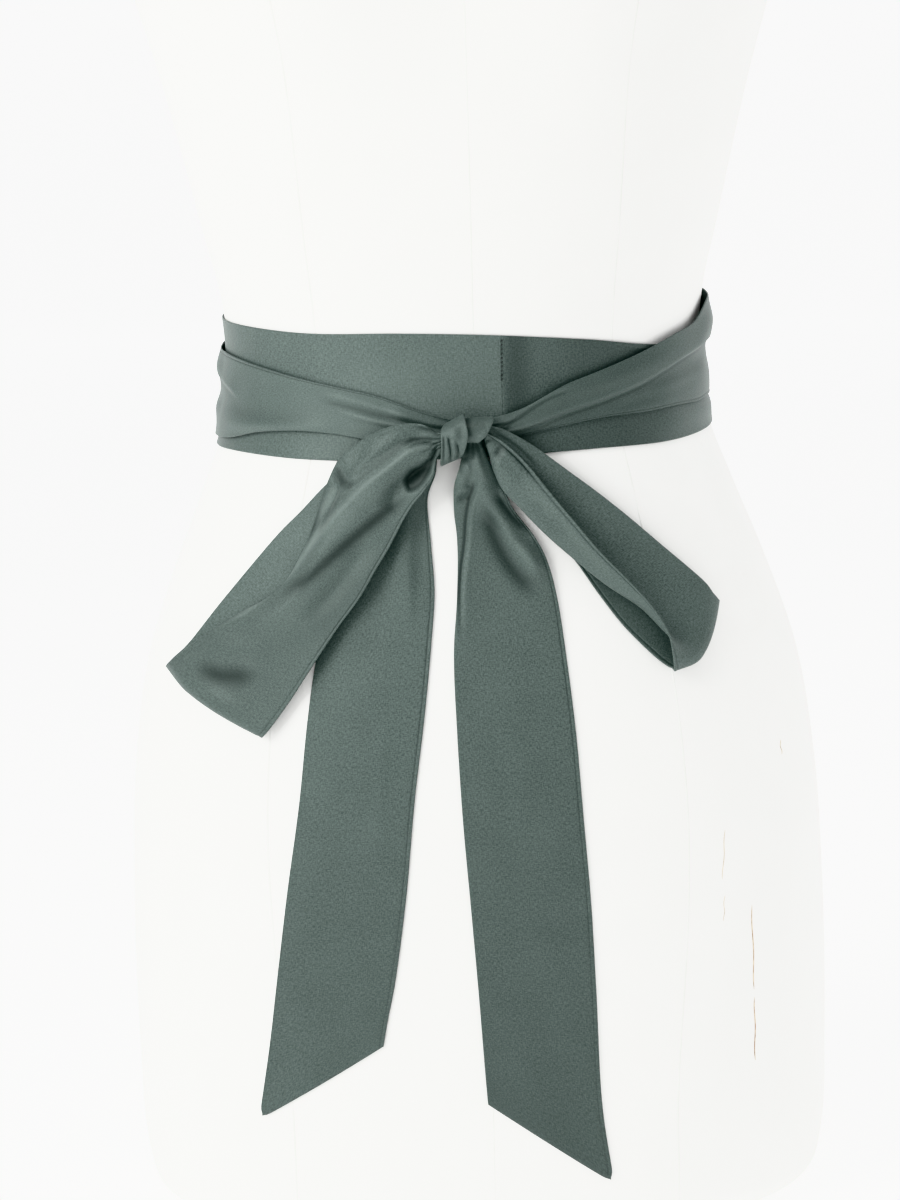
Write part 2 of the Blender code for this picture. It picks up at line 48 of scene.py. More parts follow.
LEAST_LENGTH = 1e-9      # so that a way without length can be divided by its length

SASH_WIDTH = 57.5        # flat width of the tube of satin
CLOTH_THICKNESS = 0.8    # two layers of satin
KNOT_THICKNESS = 1.0     # gathered satin
EDGE_RADIUS = 0.45       # how far in from an edge the cloth reaches its thickness
THINNEST = 0.3           # share of the thickness that is left at the very edge
SEAM_INSET = 2.0         # from the closed edge to the seam that runs along it
SEAM_WIDTH = 0.42        # half of the groove's width
SEAM_DEPTH = 0.5         # share of the thickness that the seam takes
SEAM_SHADE = 0.5         # share of shade in the seam's groove
HOLLOW_SHADE = 0.06      # share of shade for each millimetre that a fold sinks
DEEPEST_SHADE = 0.93     # share of shade that nothing goes beyond
LEAST_LIFT = 0.6         # from the form's surface to the middle of a tail's cloth
POINT_PULL = 2.4         # how much the pointed end of a tail is rounded off
POINT_REACH = 4.0        # how far from the point that goes
COLUMN_SPACING = 1.0     # between the mesh's columns, across the cloth
COLUMN_DIGITS = 5        # digits of a column's share of the width
LEAST_COLUMN_GAP = 0.0015  # share of the width below which two columns are one
WRAP_STEP = 0.8          # degrees between a wrap's sections
LOOP_STEPS = 15          # sections for each row of a loop's table
TAIL_STEPS = 22          # the same for a tail
KNOT_STEPS = 9           # the same for the knot
FOLD_ROUNDNESS = 5.0     # how far forward a turned-over edge heads at its fold
FOLD_FADE = 0.3          # share of a fold's length over which each of its ends fades
SMALL_STEP = 0.5         # degrees and millimetres between points that give the form's slope
FRONT_REACH = 0.98       # share of the half width up to which the form counts as its front
MM_PER_TURN = 2.0        # arc length of one degree round the waist
LINE_REACH = 3.6         # widths from a fine fold's line beyond which it adds nothing
LIP_FOOT = -1.9          # widths from a raised edge's line to the middle of its shade
TROUGH_FOOT = 0.3        # the same for a lowered edge
RIM_AT = 0.5             # the same for a raised edge's gleam
ROW_SOFTNESS = 0.3       # rows or degrees over which a fine fold's bounds along the cloth fade
ACROSS_SOFTNESS = 0.01   # share of the width over which its bounds across the cloth fade
GATHER_WOBBLE = 0.7      # radians that the gathers sway from even spacing
GATHER_SWAY = 5.0        # radians of that sway from edge to edge
GATHER_SHIFT = 1.3       # radians that the sway starts later for each gather
GATHER_FADE = 0.08       # share of the width over which the gathers' sides fade
SECOND_ROW_SHARE = 0.8   # share of the thickness one row in from a cut end
UV_UNIT = 10.0           # millimetres of cloth in one unit of its UV map

# Extra columns of the mesh: from both edges inwards, beside the seam, and beside a loop's fold
EDGE_COLUMNS = [0, 0.2, EDGE_RADIUS, 0.9, 3.0]
SEAM_COLUMNS = [-0.45, -0.2, 0, 0.2, 0.45]
FOLD_COLUMNS = [-1.1, -0.7, -0.35, 0, 0.35, 0.7, 1.1]

FORM_HEIGHT = 850.0
BOTTOM_EDGE_RADIUS = 14.0
NECK_EDGE_RADIUS = 5.0
FORM_POINTS_ROUND = 160
FORM_ROW_SPACING = 5.0
FOOT_RINGS = 9           # rings of points over the bottom's rounded edge
NECK_RINGS = 6           # the same over the neck's
LEAST_RING_GAP = 2.0     # from the body's last ring to the neck's rounded edge
SHARP_ANGLE = math.radians(50)
BUST_HEIGHT = 602.0
BUST_FROM_MIDDLE = 78.0
BUST_DEPTH = 17.0        # how far it swells forward
BUST_WIDTH = 46.0        # from its middle to where it fades, sideways
BUST_TALLNESS = 52.0     # the same, up and down


class Table:
    """Rows of numbers with named columns. A column is a smooth curve over the first column."""

    def __init__(self, columns, rows):
        self.columns = columns.split()
        self.rows = np.array(rows, dtype=float)

    def first(self):
        return self.rows[0, 0]

    def last(self):
        return self.rows[-1, 0]

    def at(self, column, place):
        """The column's value at places along the table, or at its nearest end."""
        known = self.rows[:, 0]
        value = self.rows[:, self.columns.index(column)]
        place = np.clip(np.asarray(place, dtype=float), known[0], known[-1])
        step = np.diff(known)
        rise = np.diff(value) / step
        slope = np.empty_like(value)
        slope[0], slope[-1] = rise[0], rise[-1]
        slope[1:-1] = (rise[:-1] * step[1:] + rise[1:] * step[:-1]) / (step[1:] + step[:-1])
        i = np.clip(np.searchsorted(known, place, side="right") - 1, 0, len(step) - 1)
        t = (place - known[i]) / step[i]
        return hermite(value[i], value[i + 1], step[i] * slope[i], step[i] * slope[i + 1], t)


# The form: half its width, how far forward and back it reaches, the y of its widest places, and the
# power of its oval, which is 2 for an ellipse and more for a squarer one
FORM = Table("height half_width front back side squareness", [
    (0, 163.0, 113, 106, 0, 2.30),
    (30, 168.5, 115, 110, 0, 2.30),
    (70, 170.0, 116, 114, 0, 2.30),
    (150, 170.0, 117, 122, 2, 2.30),
    (211, 167.0, 114, 124, 4, 2.30),
    (265, 159.0, 108, 118, 5, 2.25),
    (309, 144.5, 101, 106, 5, 2.20),
    (348, 129.0, 95, 96, 4, 2.15),
    (378, 118.0, 91, 90, 2, 2.10),
    (398, 114.5, 89, 88, 0, 2.10),
    (437, 115.5, 92, 88, -1, 2.10),
    (473, 123.5, 97, 90, -2, 2.15),
    (543, 140.0, 106, 96, -2, 2.25),
    (600, 156.0, 109, 102, 0, 2.30),
    (650, 168.0, 102, 107, 4, 2.40),
    (700, 177.0, 84, 106, 10, 2.50),
    (736, 180.0, 64, 97, 14, 2.60),
    (752, 170.0, 56, 90, 15, 2.50),
    (764, 145.0, 51, 83, 16, 2.30),
    (776, 110.0, 48, 76, 16, 2.10),
    (788, 78.0, 48, 71, 15, 2.00),
    (802, 62.0, 50, 66, 12, 2.00),
    (822, 57.0, 50, 62, 8, 2.00),
    (850, 56.0, 52, 59, 4, 2.00),
])

# The wraps
WRAP_COLUMNS = "turn bottom top out"
FIRST_WRAP = Table(WRAP_COLUMNS, [
    (-170, 407.2, 436, 0.9),
    (-150, 378, 437, 0.9),
    (-120, 375, 436, 0.9),
    (-90, 371, 433, 0.9),
    (-66, 371, 431, 0.9),
    (-46, 370, 429, 0.9),
    (-20, 370, 429, 0.9),
    (10, 371, 427, 0.9),
    (36, 372, 423, 0.9),
    (58, 372, 418, 0.9),
    (75, 374, 418, 0.9),
    (90, 376, 421, 0.9),
    (120, 377, 430, 0.9),
    (150, 378, 436, 0.9),
    (170, 378, 406.8, 0.9),
])
SECOND_WRAP_LEFT = Table(WRAP_COLUMNS, [
    (-189.8, 378, 406.8, 0.9),
    (-184, 378, 406.8, 1.0),
    (-180, 378, 406.8, 1.3),
    (-174, 378, 406.8, 2.0),
    (-170, 377, 409, 2.4),
    (-165, 377, 416, 2.4),
    (-150, 376, 425, 2.4),
    (-120, 375, 424, 2.4),
    (-88, 375, 418, 2.4),
    (-70, 377, 415, 2.4),
    (-60, 381, 412, 2.4),
    (-46, 383, 407, 2.4),
    (-37, 382, 404, 2.4),
    (-26, 379, 400, 2.4),
    (-14, 377, 393, 2.5),
    (-8, 376, 390, 2.7),
    (-3, 377, 388, 2.7),
])
SECOND_WRAP_RIGHT = Table(WRAP_COLUMNS, [
    (3, 378, 388, 2.7),
    (8, 378, 389, 2.7),
    (15, 380, 392, 2.5),
    (29, 384, 403, 2.4),
    (38, 386, 408, 2.4),
    (52, 387, 416, 2.4),
    (62, 388, 422, 2.4),
    (72, 388, 427, 2.4),
    (80, 389, 435, 2.4),
    (92, 389, 438, 2.4),
    (120, 387, 440, 2.4),
    (150, 385, 439, 2.4),
    (166, 398, 438, 2.4),
    (173, 407, 438, 2.3),
    (180, 407.2, 437, 1.7),
    (185, 407.2, 437, 1.1),
    (189.8, 407.2, 436, 0.9),
])

# Large folds: (start, start across, end, end across, height, width), from one place to another.
# They are ridges, or troughs where the height is negative. The start and the end are a turn or a row,
# and `across` is 0 at the lower edge or edge a, and 1 at the upper edge or edge b. On a wrap the
# width is a share of the cloth's width, and elsewhere it is in millimetres.
LEFT_WRAP_FOLDS = [
    (-170, 0.35, -84, 0.25, 2.6, 0.20),
    (-150, 0.70, -60, 0.72, 1.2, 0.20),
    (-96, 0.20, -34, 0.20, 1.6, 0.22),
    (-24, 0.72, -4, 0.66, 1.5, 0.20),
    (-22, 0.26, -4, 0.28, 1.3, 0.20),
]
RIGHT_WRAP_FOLDS = [
    (172, 0.60, 66, 0.78, 2.4, 0.17),
    (110, 0.76, 14, 0.74, 1.7, 0.20),
    (150, 0.25, 30, 0.18, 1.6, 0.20),
    (30, 0.30, 5, 0.30, 1.2, 0.20),
]

# The loops: front layer, folded end, back layer. A section runs from edge a by `mid` to edge b, and
# at `mid` the cloth turns over to the front where `fold` is 1. LEFT_LOOP_MID and RIGHT_LOOP_MID are
# the share of the flat width from edge a to `mid`.
LOOP_COLUMNS = "row a_x a_z a_lift mid_x mid_z mid_lift b_x b_z b_lift fold"
LEFT_LOOP_MID = 0.25
LEFT_LOOP = Table(LOOP_COLUMNS, [
    (0, -2, 384, 12.3, -2, 382, 13.0, -2, 375.5, 12.5, 0.0),
    (1, -13, 384, 12.3, -13, 381, 13.5, -13, 373.5, 12.5, 0.0),
    (2, -21, 388, 11.5, -20, 379, 14.5, -16, 364, 12.5, 0.0),
    (3, -33, 387, 10.0, -31, 376, 14.5, -21, 357, 12.0, 0.0),
    (4, -47, 381, 8.0, -43, 370, 14.5, -26, 351, 11.0, 0.0),
    (5, -58.5, 372, 7.0, -53, 361, 14.0, -31, 343, 10.5, 0.0),
    (6, -66, 359, 6.0, -60, 351, 14.0, -37, 332, 10.0, 0.0),
    (7, -70.5, 346, 5.6, -65, 339, 13.0, -44, 321, 9.5, 0.0),
    (8, -77, 330, 5.4, -71, 324, 12.5, -52, 308, 9.0, 0.0),
    (9, -89, 312, 5.6, -83, 307, 12.0, -62, 295, 8.5, 0.0),
    (10, -109, 299, 6.4, -101, 292, 10.5, -74, 278, 8.0, 0.0),
    (11, -128.5, 286, 8.0, -118, 279, 9.5, -85.5, 261, 7.4, 0.0),
    (12, -142, 275, 10.6, -131, 266, 9.4, -96, 247, 7.0, 0.0),
    (12.6, -145, 271.8, 10.0, -134, 263, 8.6, -98.6, 244, 6.4, 0.0),
    (13, -146.4, 270.4, 7.6, -134.8, 262.2, 6.6, -99.2, 243.2, 4.9, 0.0),
    (13.4, -145.8, 271.0, 5.2, -134, 263, 4.8, -98.6, 244, 3.8, 0.0),
    (14, -142.4, 274.6, 4.4, -130, 267, 4.1, -95, 248, 3.4, 0.0),
    (15, -134, 283, 4.2, -121, 276, 3.9, -86, 261, 3.2, 0.0),
    (16, -117, 304, 3.8, -105, 297, 3.5, -75, 279, 3.1, 0.0),
    (17, -92, 333, 3.3, -82, 326, 3.2, -55, 308, 3.1, 0.0),
    (18, -78, 347, 3.2, -69, 340, 3.2, -45, 321, 3.1, 0.0),
    (19, -64, 361, 4.2, -56, 355, 4.0, -35, 337, 3.8, 0.0),
    (20, -47, 372, 6.2, -42, 367, 5.8, -27, 349, 4.8, 0.0),
    (21, -30, 380, 7.4, -28, 376, 7.2, -20, 361, 6.4, 0.0),
    (22, -13, 384, 8.4, -13, 382, 8.4, -13, 375, 8.0, 0.0),
    (23, -3, 385, 8.4, -3, 383, 8.4, -3, 376, 8.4, 0.0),
])
RIGHT_LOOP_MID = 8 / 12
RIGHT_LOOP = Table(LOOP_COLUMNS, [
    (0, 8, 387, 12.5, 8, 381, 12.2, 8, 384, 15.0, 0.2),
    (1, 13, 386, 12.0, 10, 374, 11.5, 12, 382, 15.0, 0.6),
    (2, 20, 383, 11.5, 12, 366, 11.0, 18, 378, 16.0, 0.9),
    (3, 31, 376, 10.5, 16, 357, 10.5, 27, 369, 16.4, 1.0),
    (4, 45, 365, 9.5, 24, 348, 9.5, 37, 356, 16.0, 1.0),
    (5, 60, 353, 8.5, 35, 336, 9.0, 48, 342, 15.6, 1.0),
    (6, 75, 340, 8.0, 49, 323, 9.0, 60, 327, 15.4, 1.0),
    (7, 89, 327, 8.0, 63, 311, 9.0, 72, 314, 15.4, 1.0),
    (8, 101, 316, 8.0, 78, 300, 8.6, 83, 301, 16.0, 1.0),
    (9, 110, 307, 8.0, 89, 288, 8.0, 90.5, 288, 15.5, 0.7),
    (10, 114, 301, 7.6, 99, 280, 8.6, 92.5, 277, 13.5, 0.2),
    (10.6, 116, 298.5, 6.6, 102.5, 275.5, 7.8, 93, 271.5, 10.0, 0.0),
    (11, 116.5, 298, 5.2, 104, 273.5, 6.0, 93.3, 269, 6.8, 0.0),
    (11.4, 116, 298.5, 3.8, 103.5, 275, 4.2, 92.5, 269.8, 4.4, 0.0),
    (12, 113, 302, 2.8, 100, 280, 2.8, 90, 271, 2.8, 0.0),
    (13, 107, 308, 2.2, 93, 289, 2.0, 82, 278, 1.8, 0.0),
    (14, 98, 317, 1.8, 80, 300, 1.6, 70, 291, 1.5, 0.0),
    (15, 86, 328, 1.7, 69, 314, 1.5, 59, 306, 1.5, 0.0),
    (16, 74, 339, 1.8, 58, 327, 1.7, 49, 321, 1.7, 0.0),
    (17, 59, 351, 2.8, 45, 341, 2.2, 37, 336, 2.0, 0.0),
    (18, 44, 364, 4.4, 31, 354, 3.4, 25, 350, 3.0, 0.0),
    (19, 28, 375, 5.8, 19, 366, 5.0, 15, 362, 4.6, 0.0),
    (20, 14, 383, 7.2, 11, 378, 6.8, 10, 374, 6.4, 0.0),
    (21, 8, 385, 8.2, 8, 381, 8.2, 8, 377, 8.0, 0.0),
])

# How a loop's end swells between its corners: at which row, over how many, and how far in x and z
LEFT_LOOP_BOW = (13.0, 1.3, -1.1, -1.4)
RIGHT_LOOP_BOW = (11.0, 1.6, 2.6, 0.4)

# The tails
TAIL_COLUMNS = "row a_x a_z a_lift b_x b_z b_lift"
TAIL_LEFT = Table(TAIL_COLUMNS, [
    (0, -7, 383, 5.9, -7, 375, 5.9),
    (1, -15, 380, 5.9, -13.6, 373, 5.4),
    (2, -25, 369, 3.6, -15, 364, 3.0),
    (3, -39, 352, 1.3, -19, 352, 1.3),
    (4, -55, 331, 1.1, -18, 332, 1.3),
    (5, -66, 306, 1.1, -17, 310, 1.2),
    (6, -73, 279, 1.1, -19, 288, 1.1),
    (7, -78, 250, 1.1, -23, 255, 1.1),
    (8, -83, 212, 1.1, -29, 214, 1.1),
    (9, -90, 170, 1.1, -34, 171, 1.1),
    (10, -96, 130, 1.1, -40, 132, 1.1),
    (11, -101, 96, 1.1, -44.5, 111, 1.1),
    (12, -107.5, 59, 1.1, -47, 98, 1.1),
])
TAIL_RIGHT = Table(TAIL_COLUMNS, [
    (0, -1, 384, 9.5, 6, 383, 9.5),
    (1, -1.5, 377, 10.0, 6, 379, 10.5),
    (2, -3.6, 369, 9.0, 9.8, 370, 9.0),
    (3, -6.5, 359, 6.0, 15.0, 360, 6.8),
    (4, -7, 347, 3.0, 20.6, 347, 5.0),
    (5, -6, 335, 2.2, 30, 334, 4.0),
    (6, -6, 322, 1.8, 36, 321, 3.2),
    (7, -7, 304, 1.3, 40, 303, 2.0),
    (8, -9, 280, 1.1, 43, 279, 1.1),
    (9, -8.5, 245, 1.1, 46.5, 244, 1.1),
    (10, -7, 205, 1.1, 49, 204, 1.1),
    (11, -4.5, 165, 1.1, 51.5, 164, 1.1),
    (12, -2, 124, 1.1, 53, 121, 1.1),
    (13, 0, 86, 1.1, 54.5, 68, 1.1),
    (14, 1, 69, 1.1, 59.5, 27, 1.1),
])
LEFT_LOOP_FOLDS = [
    (2.0, 0.10, 6.0, 0.08, 2.0, 4.0),
    (1.8, 0.66, 5.2, 0.70, -4.2, 4.2),
    (3.5, 0.10, 7.0, 0.12, -2.4, 3.0),
    (6.0, 0.80, 9.5, 0.55, -1.8, 5.0),
    (10.5, 0.45, 12.0, 0.50, -1.4, 9.0),
]
RIGHT_LOOP_FOLDS = [
    (1.5, 0.30, 4.5, 0.34, 1.8, 4.0),
    (3.0, 0.30, 9.5, 0.34, 2.4, 9.0),
    (1.6, 0.80, 3.5, 0.84, 1.2, 3.0),
]
LEFT_TAIL_FOLDS = [
    (2.0, 0.50, 5.5, 0.72, 1.6, 5.0),
]
RIGHT_TAIL_FOLDS = [
    (1.0, 0.62, 4.8, 0.66, 4.0, 5.0),
    (1.6, 0.20, 3.6, 0.12, 3.0, 3.5),
    (5.0, 0.84, 6.8, 0.78, 2.4, 5.0),
]

# The knot: a pleated band over its left, and a smooth flap that comes out from under it
KNOT_BAND = Table(TAIL_COLUMNS, [
    (0, -8.5, 387.4, 5.0, -1.0, 390.8, 5.5),
    (1, -9.8, 387.2, 8.5, -0.8, 391.8, 9.0),
    (2, -11.2, 386.2, 12.5, -1.2, 391.8, 13.5),
    (3, -11.9, 384.4, 15.2, -0.6, 389.6, 18.2),
    (4, -12.0, 381.0, 16.6, 0.2, 385.6, 19.6),
    (5, -12.0, 377.5, 17.0, 0.4, 382.0, 19.6),
    (6, -12.3, 373.8, 16.5, -0.6, 378.4, 19.0),
    (7, -12.6, 370.8, 14.5, -1.6, 375.2, 17.0),
    (8, -12.6, 369.0, 11.4, -3.0, 373.0, 13.5),
    (9, -12.2, 368.8, 8.0, -3.8, 372.4, 9.5),
    (10, -11.5, 369.8, 5.5, -4.4, 373.0, 6.5),
])
KNOT_FLAP = Table(TAIL_COLUMNS, [
    (0, -2.6, 388.2, 5.0, 10.2, 388.4, 5.5),
    (1, -2.6, 389.2, 8.0, 11.6, 389.8, 8.5),
    (2, -2.6, 389.4, 11.4, 12.3, 389.8, 12.5),
    (3, -2.6, 388.4, 14.6, 11.9, 388.2, 15.6),
    (4, -2.4, 386.6, 17.0, 10.8, 386.0, 17.2),
    (5, -2.0, 384.2, 17.2, 9.4, 383.6, 17.4),
    (6, -1.6, 382.0, 16.8, 7.6, 381.4, 17.2),
    (7, -0.8, 380.3, 15.8, 5.8, 379.9, 16.4),
    (8, 0.4, 379.6, 14.4, 4.9, 379.4, 15.0),
])


class Crease:
    """A fold drawn as a line of (x, z), or of (turn, z) on a wrap.

    It is a soft ridge, or a trough where the height is negative. With `lip` it is the raised or
    lowered edge of the cloth on the left of the line's way, which fades over `lip` millimetres.
    With `fill` the line goes round a dip in the cloth. `rows` and `across` bound the stretch of cloth that
    it reaches, and `fade` is the share of its length over which each end fades. `dark` is the share of
    shade painted into the cloth's colour beside it, and `light` the share of gleam painted on its rim or
    ridge.
    """

    def __init__(self, height, width, points, lip=0.0, rows=None, across=None, fade=FOLD_FADE,
                 dark=0.0, light=0.0, fill=False):
        self.height, self.width, self.lip, self.fade = height, width, lip, fade
        self.points = smooth_line(np.array(points, dtype=float))
        self.rows, self.across, self.fill = rows, across, fill
        self.dark, self.light = dark, light

    def raised(self, where, along, across, scale):
        """The height and the painted shade, or less than 0 for painted gleam, that this fold adds to a
        grid.
        """
        line = self.points * scale
        reach = LINE_REACH * max(self.width, self.lip)
        place = where * scale
        near = np.all((place > line.min(axis=0) - reach) & (place < line.max(axis=0) + reach), axis=-1)
        total, shade = np.zeros((2,) + near.shape)
        window = np.ones(near.shape)
        for bounds, value, soft in ((self.rows, along, ROW_SOFTNESS),
                                    (self.across, across, ACROSS_SOFTNESS)):
            if bounds is not None:
                window = window * smooth_rise(value, bounds[0] - soft, bounds[0] + soft)
                window = window * (1 - smooth_rise(value, bounds[1] - soft, bounds[1] + soft))
        near &= window > 0
        if not near.any():
            return total, shade
        distance, side, t = nearest_on(line, place[near])
        signed = distance * (inside(place[near], line) if self.fill else side)
        strength = soft_ends(t, self.fade) * window[near]
        if self.fill:
            profile = below = smooth_rise(signed, -self.width, self.width)
            strength = window[near]
        elif self.lip:
            profile = smooth_rise(signed, -self.width, self.width)
            profile = profile * np.exp(-np.maximum(signed, 0) / self.lip)
            foot = LIP_FOOT if self.height > 0 else TROUGH_FOOT
            below = np.exp(-(signed / self.width - foot) ** 2)
        else:
            profile = below = np.exp(-(distance / self.width) ** 2)
        rim = np.exp(-(signed / self.width - RIM_AT) ** 2) if self.lip else profile
        total[near] = self.height * profile * strength
        shade[near] = (self.dark * below - self.light * rim) * strength
        return total, shade


def nearest_on(line, places):
    """How far places are from a line, which side of it they are on, and the share of its way there."""
    nearest = np.full(len(places), np.inf)
    side = np.zeros_like(nearest)
    share = np.zeros_like(nearest)
    for i in range(len(line) - 1):
        way = line[i + 1] - line[i]
        offset = places - line[i]
        t = np.clip((offset @ way) / (way @ way), 0, 1)
        distance = np.linalg.norm(offset - t[..., None] * way, axis=-1)
        nearer = distance < nearest
        nearest = np.where(nearer, distance, nearest)
        side = np.where(nearer, np.sign(way[0] * offset[..., 1] - way[1] * offset[..., 0]), side)
        share = np.where(nearer, (i + t) / (len(line) - 1), share)
    return nearest, side, share


def inside(places, outline):
    """1 at the places inside a closed outline and -1 outside it."""
    sign = -np.ones(len(places))
    for (x, z), (next_x, next_z) in zip(outline[:-1], outline[1:]):
        beside = (places[:, 1] < z) != (places[:, 1] < next_z)
        cut = x + (next_x - x) * (places[beside, 1] - z) / (next_z - z)
        sign[beside] *= np.where(places[beside, 0] < cut, -1, 1)
    return sign


def smooth_line(points, steps=6):
    """A rounded curve through a few points."""
    ends = np.concatenate([[2 * points[0] - points[1]], points, [2 * points[-1] - points[-2]]])
    curve = []
    for i in range(1, len(ends) - 2):
        for t in np.arange(steps) / steps:
            curve.append(hermite(ends[i], ends[i + 1], (ends[i + 1] - ends[i - 1]) / 2,
                                 (ends[i + 2] - ends[i]) / 2, t))
    curve.append(points[-1])
    return np.array(curve)


def unit(vectors):
    """The same ways with length 1."""
    return vectors / np.maximum(np.linalg.norm(vectors, axis=-1, keepdims=True), LEAST_LENGTH)


def soft_ends(t, fade=FOLD_FADE):
    """0 at both ends of a fold and 1 along its middle."""
    return smooth_rise(np.minimum(t, 1 - t), 0, fade)


def smooth_rise(value, start, end):
    """0 up to the start, 1 from the end on, and smooth between."""
    t = np.clip((value - start) / (end - start), 0, 1)
    return t * t * (3 - 2 * t)


def hermite(start, end, start_way, end_way, t):
    """A smooth curve between two points that leaves and arrives the given ways."""
    return ((2 * t ** 3 - 3 * t ** 2 + 1) * start + (t ** 3 - 2 * t ** 2 + t) * start_way
            + (3 * t ** 2 - 2 * t ** 3) * end + (t ** 3 - t ** 2) * end_way)


# Fine folds, as the photograph's light shows them
# A fold's `dark` and `light` paint shade and gleam into the cloth's colour beside it
LEFT_WRAP_CREASES = [
    Crease(-0.5, 4.2, [(-80, 390.6), (-69, 390.0), (-62, 388), (-51, 388), (-38, 387)], dark=0.13),
    Crease(0.9, 3.0, [(-78, 384), (-66, 383.6), (-54, 384.6), (-44, 385.0), (-34, 384.0)],
           light=0.10),
    Crease(1.1, 1.6, [(-92, 407), (-84, 404), (-78.7, 401.9), (-73.7, 399), (-69, 395)], lip=5.0,
           dark=0.12),
    Crease(1.9, 6.5, [(-104, 412), (-92, 411), (-80, 409.5)]),
    Crease(1.6, 6.0, [(-104, 390), (-92, 389), (-80, 390)]),
    Crease(-0.3, 1.4, [(-44, 398), (-34, 394.6), (-22, 389.6), (-10, 385)], dark=0.42),
    Crease(0.9, 1.3, [(-38, 393.4), (-26, 388.4), (-15, 384.0), (-6, 381.5)], light=0.24),
    Crease(0.5, 1.2, [(-44, 401.5), (-34, 398.4), (-22, 393.0), (-12, 388.4)], light=0.16),
    Crease(-0.6, 6.0, [(-150, 404), (-130, 398), (-112, 396), (-96, 398)]),
    Crease(0.5, 3.0, [(-165, 388), (-145, 385), (-122, 387)]),
]
RIGHT_WRAP_CREASES = [
    Crease(2.1, 1.1, [(9, 380.2), (13.3, 381.7), (20.4, 385.3), (26.2, 388.9), (38, 394.1),
                      (50.6, 400.7), (57.7, 405.6), (66.4, 411.2), (79, 416), (96, 420)],
           lip=12.0, fade=0.10, dark=0.42, light=0.16),
    Crease(1.2, 0.8, [(8, 383.0), (10.1, 384.7), (15.1, 389.8), (19.5, 394.1), (24.5, 398.3),
                      (31, 401.5)], lip=3.0, fade=0.12, dark=0.50, light=0.16),
    Crease(-0.8, 3.0, [(34, 389.4), (48, 392), (62, 396), (80, 402)], dark=0.08),
    Crease(0.8, 4.0, [(52, 394), (66, 399), (84, 405)]),
    Crease(-0.8, 4.0, [(92, 408), (100, 412), (118, 410), (140, 414)]),
    Crease(0.8, 3.5, [(92, 399), (120, 394), (150, 396)]),
]
FIRST_WRAP_CREASES = [
    Crease(-0.3, 0.34, [(10.8, 430), (10.8, 408), (10.8, 386), (10.8, 368)], fade=0.01, dark=0.62),
    Crease(0.0, 26.0, [(-60, 400), (-10, 400), (40, 400)], rows=(-90, 10.8), fade=0.45, light=0.15),
    Crease(-0.3, 14.0, [(-62, 402), (-45, 408), (-28, 404)]),
    Crease(0.6, 0.9, [(42, 420.8), (46, 419.2), (50, 417.2), (55, 415.4), (58, 414.6)], lip=2.0,
           dark=0.6),
    Crease(-0.35, 9.0, [(14, 410), (26, 404), (40, 400)]),
    Crease(1.6, 6.0, [(50, 380.5), (66, 382), (84, 384), (110, 385)]),
]
